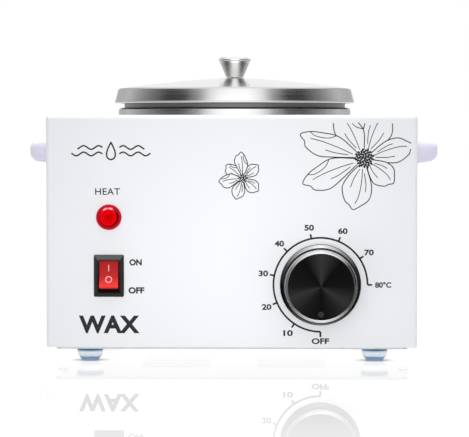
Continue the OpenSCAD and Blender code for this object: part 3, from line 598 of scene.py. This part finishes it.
def make_world():
    """What the steel mirrors: bright to the front and overhead, dark to both sides, mid grey behind.

    A narrow strip right behind is white. The camera itself sees plain white everywhere.
    """
    world = bpy.data.worlds.new("studio")
    scene.world = world
    world.use_nodes = True
    tree = world.node_tree
    direction = add_node(tree, "TexCoord").outputs["Generated"]
    level = vector_math(tree, "MULTIPLY", direction, (1, 1, 0))
    aside = vector_math(tree, "SUBTRACT", level, (0.05, 0, 0))
    heading = add_node(tree, "SeparateXYZ", Vector=vector_math(tree, "NORMALIZE", aside))
    forward = add_node(tree, "MapRange", Value=heading.outputs["Y"], From_Min=1.0, From_Max=-1.0)
    round_about = ramp(tree, forward.outputs["Result"], greys(
        (0.0, 1.0), (0.0062, 1.0), (0.013, 0.52), (0.07, 0.50), (0.20, 0.60), (0.42, 0.28), (0.66, 0.05),
        (0.80, 0.05), (0.90, 0.38), (0.955, 1.1), (1.0, 1.45)))
    height = add_node(tree, "SeparateXYZ", Vector=direction).outputs["Z"]
    lift = add_node(tree, "MapRange", Value=height, From_Min=0.50, From_Max=0.72)
    lift.interpolation_type = "SMOOTHSTEP"
    sky = mixed(tree, lift.outputs["Result"], round_about, (0.95, 0.95, 0.95, 1))
    to_camera = add_node(tree, "LightPath").outputs["Is Camera Ray"]
    feed(tree, tree.nodes["Background"].inputs["Color"], mixed(tree, to_camera, sky, (1, 1, 1, 1)))
    tree.nodes["Background"].inputs["Strength"].default_value = 1.0


def add_light(light, power, place, target):
    """Adds a light that does not show in reflections, which the world alone draws."""
    light.energy = power
    holder = add_object(light.name, light)
    holder.location = place
    holder.visible_glossy = False
    aim(holder, Vector(target))


def top_softbox():
    light = bpy.data.lights.new("top_softbox", "AREA")
    light.shape = "RECTANGLE"
    light.size, light.size_y = 1.4, 1.0
    add_light(light, 15, (0.0, 0.1, 1.3), (0, 0, 0.1))


def panel_spot():
    """A soft pool of light on the middle of the front panel."""
    light = bpy.data.lights.new("panel_spot", "SPOT")
    light.spot_size = math.radians(11.5)
    light.spot_blend = 1.0
    light.shadow_soft_size = 0.10
    add_light(light, 35, (0.03, -1.35, 0.17), (0.002, FRONT_Y, 0.055))


make_floor()
make_world()
top_softbox()
panel_spot()

scene.view_settings.view_transform = "Standard"
scene.view_settings.look = "None"


# ------------------------ lid, pot and well

def dome(radius, edge_radius, edge_height, rise):
    """The height of the lid's shallow dome, which is fullest at its middle."""
    return edge_height + rise * (1 - (radius / edge_radius) ** 1.45)


def on_pot_axis(node):
    """Where a part on the pot's axis stands, with its radius and its height in millimetres."""
    low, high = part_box(node)
    place = upright(Vector((POT_X, POT_Y, low.z)))
    return place, radius_of(node), (high.z - low.z) / MM


def make_lid():
    place, hem_r, total = on_pot_axis("lid_shell")
    sheet = 0.8
    rise = 5.6
    shoulder = total - rise - 0.05
    edge_r = hem_r - 3.4
    steps = [edge_r * (k / 40) for k in range(3, 41)]
    outside = [(r, dome(r, edge_r, shoulder, rise)) for r in steps]
    skirt = filleted([(edge_r - 0.4, shoulder + 0.04, 0), (hem_r - 2.1, shoulder - 0.15, 1.25),
                      (hem_r - 0.30, 1.25, 0.25), (hem_r - 0.30, 1.0, 0)], 7)
    hem = arc(hem_r - 0.5, 0.5, 0.5, 65, -180, 14)
    inside_skirt = filleted([
        (hem_r - 0.3 - sheet, 1.0, 0), (hem_r - 0.3 - sheet, 1.3, 0.2),
        (hem_r - 2.1 - sheet, shoulder - 0.9, 0.6), (edge_r - 1.2, shoulder - sheet, 0)], 5)
    inside = [(r, dome(r, edge_r, shoulder, rise) - sheet) for r in reversed(steps[:-1])]
    profile = outside + skirt + hem + inside_skirt + inside
    add_piece("lid", lathe("lid", profile, place, 192, closed=True), "lid", FINISH["stainless"],
              ["lid_shell"], sharp=40)


def make_lid_knob():
    place, r, h = on_pot_axis("lid_knob")
    profile = [(0, 0)] + filleted([
        (r - 4.5, 0, 0), (r - 4.3, 0.15, 0.15), (r - 0.62, h - 3.3, 0.3), (r - 0.75, h - 2.65, 0.1),
        (r - 0.35, h - 2.45, 0.1), (r, h - 1.95, 0.3), (r - 0.15, h - 1.35, 0.5), (r - 1.9, h - 0.30, 0.7),
        (r - 2.3, h - 0.40, 0.1), (r - 4.5, h - 0.10, 1.0), (0, h, 0)], 5)
    add_piece("lid_grip", lathe("lid_grip", profile, place, 112), "lid", grip_lit_copy,
              ["lid_knob"], sharp=24)


def make_well_ring():
    place, r, h = on_pot_axis("well_ring")
    profile = filleted([
        (r, 0.0, 0), (r, h - 0.8, 0.3), (r - 0.9, h, 0.4), (r - 2.5, h, 0.3), (r - 2.5, 1.05, 0.1),
        (r - 0.4, 1.05, 0.05), (r - 0.4, 0.0, 0)], 5)
    add_piece("ring_trim", lathe("ring_trim", profile, place, 192, closed=True), "casing",
              FINISH["stainless"], ["well_ring"], sharp=30)


def make_pot():
    place, bead_out, h = on_pot_axis("inner_pot")
    wall_r = bead_out - 1.6
    bead = 1.4
    profile = [(0, 0)] + filleted([(0.1, 0, 0), (wall_r, 0, 4.0), (wall_r, h - 2 * bead - 0.1, 0)], 9)
    profile += arc(bead_out - bead, h - bead, bead, -98, 180, 18)
    profile += filleted([(wall_r - 1, h - 3.2, 0), (wall_r - 1, 1.2, 3.0), (0.1, 1.2, 0)], 8) + [(0, 1.2)]
    add_piece("pot", lathe("pot", profile, place, 176), "inner_pot",
              FINISH["pot_aluminium"], ["inner_pot"], sharp=50)


make_lid()
make_lid_knob()
make_well_ring()
make_pot()


# ------------------------ temperature knob

knob_low, knob_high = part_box("knob_body")
insert_r = radius_of("knob_insert")
insert_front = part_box("knob_insert")[0].y
on_knob = facing(Vector((knob_middle.x, knob_high.y, knob_middle.z)))


def add_dial_ring(name, profile, material):
    """One of the rings that the knob's body is drawn with, beside its rim."""
    add_piece(name, lathe(name, profile, on_knob, 160, closed=True), "temperature_knob",
              material, sharp=28)


def make_dial():
    """The knob's body: a tapered skirt with a dark hem, a dark groove, and the rim round the insert."""
    r = radius_of("knob_body")
    depth = (knob_high.y - knob_low.y) / MM
    groove = 8.3
    bore = r - 4.0
    skirt = filleted([
        (bore, 0.4, 0), (r - 0.22, 0.4, 0.1), (r - 1.30, groove - 0.15, 0.2),
        (r - 1.42, groove - 0.05, 0.02), (bore, groove - 0.05, 0)], 6)
    add_dial_ring("dial_skirt", skirt, skirt_finish)
    hem = filleted([
        (bore, 0, 0), (r - 0.02, 0, 0.1), (r - 0.02, 0.5, 0.1), (r - 0.24, 0.55, 0.05), (r - 0.30, 0.42, 0),
        (bore, 0.42, 0)], 4)
    add_dial_ring("dial_hem", hem, groove_finish)
    ring = [(bore, groove), (r - 1.42, groove), (r - 1.50, groove + 0.16), (r - 2.4, groove + 0.20),
            (r - 2.4, groove + 0.8), (bore, groove + 0.8)]
    add_dial_ring("dial_groove", ring, groove_finish)
    rim = filleted([
        (r - 3.9, groove + 0.6, 0), (r - 2.45, groove + 0.6, 0.02), (r - 1.93, groove + 0.75, 0.2),
        (r - 2.42, depth - 1.3, 1.6), (insert_r + 0.55, depth, 0.35), (insert_r + 0.12, depth - 0.15, 0.1),
        (insert_r + 0.1, depth - 1.3, 0), (1.0, depth - 1.35, 0)], 6)
    rim += [(0, depth - 1.35), (0, depth - 3.6), (r - 3.9, depth - 3.6)]
    add_piece("dial_rim", lathe("dial_rim", rim + rim[:1], on_knob, 160), "temperature_knob",
              bezel_finish, ["knob_body"], sharp=28)


def make_dial_face():
    """The dark insert, with fine rings spun into it."""
    face = (knob_high.y - insert_front) / MM
    dish = [(0, face)]
    rings = 26
    for k in range(1, rings):
        at = (insert_r - 0.2) * k / rings
        dish += [(at - 0.16, face), (at, face - 0.02), (at + 0.16, face)]
    dish += [(insert_r - 0.15, face), (insert_r, face - 0.15), (insert_r, face - 1.15), (0, face - 1.15)]
    add_piece("dial_face", lathe("dial_face", dish, on_knob, 128), "temperature_knob",
              FINISH["knob_black"], ["knob_insert"], sharp=60)


def make_dial_dot():
    """The pointer."""
    centre = middle("knob_pointer")
    centre.y = insert_front
    r = radius_of("knob_pointer")
    edge = filleted([(r - 0.6, 0.10, 0), (r, 0.06, 0.05), (r, -0.3, 0)], 3)
    add_piece("dial_dot", lathe("dial_dot", [(0, 0.10)] + edge + [(0, -0.3)], facing(centre), 48),
              "temperature_knob", FINISH["pointer_grey"], ["knob_pointer"])


make_dial()
make_dial_face()
make_dial_dot()


# ------------------------ pilot lamp

def make_lamp():
    centre = Vector((lamp_middle.x, FRONT_Y, lamp_middle.z))
    r = radius_of("lamp_lens")
    out = (FRONT_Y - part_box("lamp_lens")[0].y) / MM
    face_r = r - 1.75
    skirt = filleted([(4.1, 0.02, 0), (r, 0.02, 0.1), (r, 0.5, 0.4), (face_r + 0.7, 1.7, 0.5),
                      (face_r + 0.28, 1.75, 0.05), (face_r + 0.18, 1.45, 0.05), (face_r, 1.5, 0.05),
                      (face_r - 0.1, out - 0.75, 0.4)], 5)
    ripples = 4
    lens = []
    for k in range(0, 41):
        at = (face_r - 0.45) * (1 - k / 40)
        crown = out - 0.65 + 0.58 * (1 - (at / face_r) ** 2)
        lens.append((at, crown + 0.06 * math.cos(2 * math.pi * ripples * at / face_r)))
    profile = skirt + lens[:-1] + [(0, lens[-1][1])]
    tail = [(0, -5.9), (4.05, -5.9)]
    add_piece("pilot_lens", lathe("pilot_lens", tail + profile, facing(centre), 96), "casing",
              FINISH["lens_red"], ["lamp_lens"], sharp=34)


make_lamp()


# ------------------------ rocker switch

def make_bezel():
    low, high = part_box("switch_housing")
    centre = Vector(((low.x + high.x) / 2, FRONT_Y, (low.z + high.z) / 2))
    width = (high.x - low.x) / MM
    height = (high.z - low.z) / MM
    out = (FRONT_Y - low.y) / MM
    deep = (high.y - FRONT_Y) / MM

    def loop(w, h, radius, depth):
        return [centre + Vector((a, -depth, b)) * MM for a, b in rounded_rectangle(w, h, radius)]

    loops = [
        loop(13.0, 19.0, 0.5, -deep), loop(13.0, 19.0, 0.5, 0.03), loop(width, height, 0.75, 0.03),
        loop(width, height, 0.75, 0.45), loop(width - 0.25, height - 0.25, 0.7, 0.62),
        loop(width - 2.9, height - 3.3, 0.35, out - 0.10), loop(width - 3.15, height - 3.6, 0.3, out),
        loop(width - 3.4, height - 3.9, 0.3, out - 0.08), loop(width - 4.95, height - 5.55, 0.2, out - 0.9),
        loop(width - 5.15, height - 5.7, 0.2, out - 1.1), loop(width - 5.15, height - 5.7, 0.2, -5.8)]
    add_piece("switch_frame", loft("switch_frame", loops), "casing", frame_finish,
              ["switch_housing"], sharp=26)


ROCKER_TILT = 12  # degrees
PIVOT_IN = 1.2  # millimetres behind the panel's face
FACE_HALF = 6.3  # millimetres, half the height of the hollowed face


def rocker_place(across, out, up):
    """A point of the rocker in its own level position, turned to its stored tilt about its axis."""
    tilt = math.radians(ROCKER_TILT)
    axis = Vector(((rocker_low.x + rocker_high.x) / 2, FRONT_Y + PIVOT_IN * MM, middle("switch_housing").z))
    turned_out = out * math.cos(tilt) - up * math.sin(tilt)
    turned_up = out * math.sin(tilt) + up * math.cos(tilt)
    return axis + Vector((across, -turned_out, turned_up)) * MM


def rocker_face(up):
    """How far the hollowed face stands out, in millimetres, at a height over its middle."""
    return 3.0 + 1.2 * (up / FACE_HALF) ** 2


def make_rocker():
    side = [(rocker_face(k * FACE_HALF / 9), k * FACE_HALF / 9) for k in range(-9, 10)]
    side += arc(3.52, FACE_HALF, 0.65, 50, 90, 5)
    side += [(3.0, 6.9), (0.0, 6.8), (-2.6, 5.4), (-4.6, 1.6)]
    side += [(-4.6, -1.6), (-2.6, -5.4), (0.0, -6.8), (3.0, -6.9)]
    side += arc(3.52, -FACE_HALF, 0.65, -90, -50, 5)
    half = 4.68
    rim = 0.28
    loops = []
    for across, inset in ((-half, rim), (-half + 0.08, 0.1), (-half + rim, 0.0),
                          (half - rim, 0.0), (half - 0.08, 0.1), (half, rim)):
        loops.append([rocker_place(across, out * (1 - inset / 6), up * (1 - inset / 7)) for out, up in side])
    add_piece("rocker", loft("rocker", loops), "switch_rocker", FINISH["rocker_red"],
              ["switch_rocker"], sharp=38)

    bm = bmesh.new()
    solid_patch(bm, [(-0.19, 1.7), (0.19, 1.7), (0.19, 4.8), (-0.19, 4.8)])
    ring = 40
    ring_up = -2.45
    outer, inner = ([(r * math.cos(2 * math.pi * k / ring), ring_up + r * math.sin(2 * math.pi * k / ring))
                     for k in range(ring)] for r in (1.72, 1.28))
    for k in range(ring):
        n = (k + 1) % ring
        solid_patch(bm, [inner[k], inner[n], outer[n], outer[k]])
    bmesh.ops.remove_doubles(bm, verts=bm.verts, dist=1e-7)
    add_piece("rocker_marks", to_mesh(bm, "rocker_marks"), "switch_rocker", mark_ink, sharp=40)


def solid_patch(bm, outline):
    """A thin raised patch on the rocker's face; outline is (across, up)."""
    proud, sunk = 0.05, -0.05
    top = [bm.verts.new(rocker_place(a, rocker_face(u) + proud, u)) for a, u in outline]
    low = [bm.verts.new(rocker_place(a, rocker_face(u) + sunk, u)) for a, u in outline]
    bm.faces.new(top)
    bm.faces.new(low)
    for k in range(len(outline)):
        n = (k + 1) % len(outline)
        bm.faces.new([top[k], top[n], low[n], low[k]])


make_bezel()
make_rocker()


# ------------------------ feet

def make_foot(node):
    low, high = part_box(node)
    centre = Vector(((low.x + high.x) / 2, (low.y + high.y) / 2, low.z))
    top_r = radius_of(node)
    h = (high.z - low.z) / MM
    profile = filleted([
        (3.3, 0.0, 0), (top_r - 2.9, 0.0, 1.5), (top_r - 0.9, 2.6, 2.4), (top_r - 0.1, h - 0.45, 0.2),
        (top_r, h, 0.15), (1.7, h, 0.2), (1.7, h - 2.5, 0.1), (3.3, h - 2.5, 0.3), (3.3, 0.0, 0)], 6)[:-1]
    add_piece("soft_" + node, lathe("soft_" + node, profile, upright(centre), 72, closed=True), "casing",
              FINISH["foot_blue"], [node], sharp=45)


for corner in ("front_left", "front_right", "rear_left", "rear_right"):
    make_foot("foot_" + corner)


# ------------------------ side handles

NOSE_R = 5.0
NOSE_FLAT = 0.9
RECESS_START = 2.3
RECESS_W = 8.2


GRIP_CORNER = 9.0


def grip_loops(centre, side, out, half_l, half_h):
    """Sections of a solid grip from end to end; side is 1 on the right and -1 on the left."""
    corner = GRIP_CORNER
    edge = 1.6
    turns = [math.radians(90 * k / 12) for k in range(13)]
    ends = [half_l - corner + corner * math.sin(t) for t in turns]
    ends += [half_l - edge * (1 - math.sin(math.radians(90 * k / 6))) for k in range(3, 7)]
    ends = sorted(set(round(y, 4) for y in ends))
    along = [-y for y in reversed(ends)] + [-half_l / 3, 0.0, half_l / 3] + ends
    loops = []
    for y in along:
        past = max(0.0, abs(y) - (half_l - corner))
        reach = out - corner + math.sqrt(max(0.0, corner ** 2 - past ** 2))
        inset = edge - math.sqrt(max(0.0, edge ** 2 - max(0.0, abs(y) - (half_l - edge)) ** 2))
        nose = NOSE_R - inset
        section = [(0.0, inset - half_h)]
        section += arc(reach - NOSE_R, -NOSE_FLAT, nose, -80, 0, 12)
        section += arc(reach - NOSE_R, NOSE_FLAT, nose, 0, 80, 12)
        section += [(0.0, half_h - inset)]
        loops.append([centre + Vector((side * max(0.0, a), y, b)) * MM for a, b in section])
    return loops


def recess_loops(centre, side, half_l, half_h):
    """Sections of the finger recess under a grip, from below it upwards."""
    loops = []
    middle_x = RECESS_START + RECESS_W / 2
    for z, shrink in ((-half_h - 3, 0.0), (1.6, 0.0), (2.6, 0.35), (3.1, 1.3)):
        outline = rounded_rectangle(
            RECESS_W - 2 * shrink, 2 * (half_l - GRIP_CORNER) - 2 * shrink, 2.2 - shrink * 0.9, 5)
        loops.append([centre + Vector((side * (middle_x + a), b, z)) * MM for a, b in outline])
    return loops


def make_handle(node, side):
    """A moulded grip: a solid one from which its recess is cut."""
    low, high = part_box(node)
    centre = middle(node)
    centre.x = low.x if side > 0 else high.x
    out = (high.x - low.x) / MM
    half_l = (high.y - low.y) / 2 / MM
    half_h = (high.z - low.z) / 2 / MM
    body = add_object(node + "_shell", loft(node + "_shell", grip_loops(centre, side, out, half_l, half_h)))
    cutter = add_object(node + "_recess", loft(node + "_recess", recess_loops(centre, side, half_l, half_h)))
    cut = body.modifiers.new("recess", "BOOLEAN")
    cut.object = cutter
    cut.solver = "EXACT"
    shaped = settled_mesh(body)
    bpy.data.objects.remove(cutter)
    name = "grip_" + node.split("_")[1]
    add_piece(name, shaped, "casing", FINISH["handle_white"], [node], sharp=38)


make_handle("handle_right", 1)
make_handle("handle_left", -1)


# ------------------------ printing on the front panel

# Printed lines are thin solid strips: how far their undersides and faces stand out of the panel.
PRINT_LOW = 0.004
PRINT_HIGH = 0.030
# Lines are cut off short of the panel's folded edges.
PANEL_TOP = (CASE_TOP - CASE_BOTTOM) / MM - 3.6
PANEL_RIGHT = case_high.x / MM - 3.3


def ribbon(bm, points, width, closed=False):
    """A flat printed line of the given width through (x, z) points of the panel."""
    points = [Vector(p) for p in points]
    count = len(points)
    if count < 2:
        return
    rings = []
    for k, here in enumerate(points):
        before = points[k - 1] if (k or closed) else here
        after = points[(k + 1) % count] if (k < count - 1 or closed) else here
        run = after - before
        if run.length < 1e-9:
            run = Vector((1, 0))
        side = Vector((-run.y, run.x)).normalized() * width / 2
        section = [(here + side, PRINT_LOW), (here + side, PRINT_HIGH),
                   (here - side, PRINT_HIGH), (here - side, PRINT_LOW)]
        rings.append([bm.verts.new(panel_point(*p, out)) for p, out in section])
    join_rings(bm, rings, closed)


def add_print(name, bm, material):
    add_piece(name, to_mesh(bm, name), "casing", material, sharp=40)


def lettering(name, text, x, z, height, width, weight, spacing=1.0):
    """Printed characters of an overall height and width in millimetres, with their middle at (x, z)."""
    curve = bpy.data.curves.new(name, "FONT")
    curve.body = text
    curve.size = 1.0
    curve.offset = weight
    curve.space_character = spacing
    curve.resolution_u = 6
    curve.extrude = 0.01
    mesh = settled_mesh(add_object(name + "_text", curve))
    xs = [v.co.x for v in mesh.vertices]
    ys = [v.co.y for v in mesh.vertices]
    tall = height / (max(ys) - min(ys))
    wide = width / (max(xs) - min(xs))
    mid_x, mid_y = (max(xs) + min(xs)) / 2, (max(ys) + min(ys)) / 2
    for vertex in mesh.vertices:
        out = PRINT_HIGH if vertex.co.z > 0 else PRINT_LOW
        vertex.co = panel_point(x + (vertex.co.x - mid_x) * wide, z + (vertex.co.y - mid_y) * tall, out)
    mesh.flip_normals()
    add_piece(name, mesh, "casing", ink, sharp=40)


def make_words():
    lettering("print_heat", "HEAT", -61.7, 77.9, 3.3, 12.4, weight=0.010, spacing=1.06)
    lettering("print_on", "ON", -47.8, 42.6, 3.2, 6.2, weight=0.042)
    lettering("print_off", "OFF", -47.4, 28.6, 3.2, 7.9, weight=0.042)
    lettering("print_wax", "WAX", -61.0, 11.6, 8.9, 30.3, weight=0.040, spacing=1.06)


DIAL_X = knob_middle.x / MM
DIAL_Z = (knob_middle.z - CASE_BOTTOM) / MM
SCALE_R = 23.4
SCALE_TURN = 270
SCALE_STEPS = 8


def on_dial(radius, turn):
    """A point of the dial's scale; turn is in degrees clockwise from the OFF mark at the bottom."""
    t = math.radians(turn)
    return (DIAL_X - radius * math.sin(t), DIAL_Z - radius * math.cos(t))


def make_scale():
    bm = bmesh.new()
    ribbon(bm, [on_dial(SCALE_R, turn) for turn in range(0, SCALE_TURN + 1, 3)], 0.92)
    ribbon(bm, [on_dial(SCALE_R, 0), on_dial(SCALE_R + 2.7, 0)], 0.95)
    step = SCALE_TURN / SCALE_STEPS
    for k in range(1, SCALE_STEPS + 1):
        ribbon(bm, [on_dial(SCALE_R, k * step), on_dial(SCALE_R + 2.3, k * step)], 0.90)
    add_print("print_scale", bm, ink)
    for k in range(1, SCALE_STEPS):
        x, z = on_dial(SCALE_R + 5.6, k * step)
        lettering(f"print_{k}0", f"{k}0", x, z, 2.95, 4.75, weight=0.036)
    lettering("print_80", "80°C", DIAL_X + SCALE_R + 7.8, DIAL_Z, 2.9, 8.1, weight=0.034)
    lettering("print_dial_off", "OFF", DIAL_X, DIAL_Z - SCALE_R - 4.75, 2.95, 8.7, weight=0.036)


def flowing(points, steps=7, closed=True):
    """A smooth Catmull-Rom line through a few points."""
    count = len(points)
    line = []
    for k in range(count if closed else count - 1):
        if closed:
            p = [Vector(points[(k + j - 1) % count]) for j in range(4)]
        else:
            p = [Vector(points[min(max(k + j - 1, 0), count - 1)]) for j in range(4)]
        speed = p[2] - p[0]
        bend = 2 * p[0] - 5 * p[1] + 4 * p[2] - p[3]
        twist = 3 * p[1] - p[0] - 3 * p[2] + p[3]
        for j in range(steps):
            t = j / steps
            line.append(tuple(0.5 * (2 * p[1] + speed * t + bend * t ** 2 + twist * t ** 3)))
    if not closed:
        line.append(tuple(points[-1]))
    return line


def inside(point, outline):
    """Whether a point is within a closed outline, so a line from it crosses an odd number of sides."""
    x, z = point
    odd = False
    for (x1, z1), (x2, z2) in zip(outline, outline[1:] + outline[:1]):
        if (z1 > z) != (z2 > z) and x < (x2 - x1) * (z - z1) / (z2 - z1) + x1:
            odd = not odd
    return odd


def seen(points, hidden):
    """The runs of a line that are not hidden."""
    runs, run = [], []
    for point in points:
        if not hidden(point):
            run.append(point)
        elif run:
            runs.append(run)
            run = []
    return [r for r in runs + [run] if len(r) > 1]


def leaf_points(centre, angle, length, half_width, shape):
    """Turns (along, across) fractions of a petal into panel millimetres."""
    along = Vector((math.cos(math.radians(angle)), math.sin(math.radians(angle))))
    across = Vector((-along.y, along.x))
    return [tuple(Vector(centre) + along * (a * length) + across * (b * half_width)) for a, b in shape]


PETAL_SHAPES = [
    [(0.06, 0.0), (0.22, 0.42), (0.50, 0.92), (0.74, 0.95), (0.90, 0.52), (1.0, 0.10), (0.93, -0.22),
     (0.86, -0.60), (0.62, -0.95), (0.36, -0.66), (0.16, -0.24)],
    [(0.06, 0.0), (0.20, 0.30), (0.44, 0.72), (0.66, 1.0), (0.86, 0.70), (0.91, 0.30), (1.0, -0.06),
     (0.88, -0.50), (0.70, -0.74), (0.46, -0.88), (0.20, -0.40)],
]
CREASE_SHAPES = [
    [[(0.20, 0.05), (0.45, 0.20), (0.72, 0.24), (0.88, 0.12)], [(0.22, -0.12), (0.42, -0.34), (0.60, -0.42)],
     [(0.28, 0.24), (0.48, 0.52), (0.62, 0.60)]],
    [[(0.18, 0.0), (0.40, -0.10), (0.66, -0.12), (0.84, -0.04)], [(0.24, 0.16), (0.44, 0.36), (0.58, 0.40)],
     [(0.50, -0.86), (0.60, -0.50), (0.78, -0.34), (0.88, -0.50)]],
]


def make_flower(name, centre, petals, line, stamen):
    """A plain line flower round a disc of seeds, stamen millimetres in radius.

    Petals are (angle, length, half width), and each one hides those after it.
    """
    bm = bmesh.new()
    nearer = []
    for number, (angle, length, half_width) in enumerate(petals):
        kind = number % 2
        outline = flowing(leaf_points(centre, angle, length, half_width, PETAL_SHAPES[kind]))
        covered = list(nearer)

        def hidden(point):
            if point[1] > PANEL_TOP or point[0] > PANEL_RIGHT:
                return True
            if (Vector(point) - Vector(centre)).length < stamen * 0.9:
                return True
            return any(inside(point, other) for other in covered)

        for run in seen(outline + outline[:1], hidden):
            ribbon(bm, run, line)
        for crease in CREASE_SHAPES[kind]:
            path = flowing(leaf_points(centre, angle, length, half_width, crease), closed=False)
            for run in seen(path, hidden):
                ribbon(bm, run, line * 0.8)
        nearer.append(outline)
    seeds = round(10 * stamen)
    golden = math.pi * (3 - math.sqrt(5))
    for k in range(seeds):
        r = stamen * math.sqrt((k + 0.5) / seeds)
        t = golden * k
        x, z = centre[0] + r * math.cos(t), centre[1] + r * math.sin(t)
        bead = [(x + stamen * (0.10 * math.cos(a) * math.cos(t) - 0.065 * math.sin(a) * math.sin(t)),
                 z + stamen * (0.10 * math.cos(a) * math.sin(t) + 0.065 * math.sin(a) * math.cos(t)))
                for a in (2 * math.pi * j / 10 for j in range(10))]
        if z < PANEL_TOP:
            ribbon(bm, bead, line * 1.15, closed=True)
    add_print(name, bm, fine_ink)


def make_ornament(x, z):
    """A drop between two pairs of waves."""
    bm = bmesh.new()
    line = 0.75
    drop = []
    for k in range(40):
        t = 2 * math.pi * k / 40
        drop.append((x + 3.0 * math.sin(t) * math.sin(t / 2) ** 1.3, z - 0.4 + 4.3 * math.cos(t)))
    ribbon(bm, drop, line, closed=True)
    for side in (-1, 1):
        for level, reach in ((1.3, 12.5), (-1.9, 15.5)):
            wave = [(x + side * (4.6 + reach * k / 30 - 0.4),
                     z + level + 0.9 * math.sin(2 * math.pi * (k / 30) * reach / 7.5)) for k in range(31)]
            ribbon(bm, wave, line)
    add_print("print_drop", bm, ink)


make_words()
make_scale()
SMALL_PETALS = [(250, 11.0, 3.3), (190, 12.0, 3.6), (318, 10.0, 3.4), (95, 13.0, 3.4), (38, 10.0, 3.0),
                (143, 10.5, 3.4)]
LARGE_PETALS = [(256, 26, 7.6), (203, 33, 7.2), (318, 19, 6.4), (160, 34, 6.6), (14, 25, 6.2), (118, 27, 7.0),
                (64, 26, 7.4)]
make_flower("print_small_flower", (5.6, 84.6), SMALL_PETALS, 0.44, 2.2)
make_flower("print_large_flower", (66.0, 94.4), LARGE_PETALS, 0.48, 4.6)
make_ornament(-60.0, 98.5)
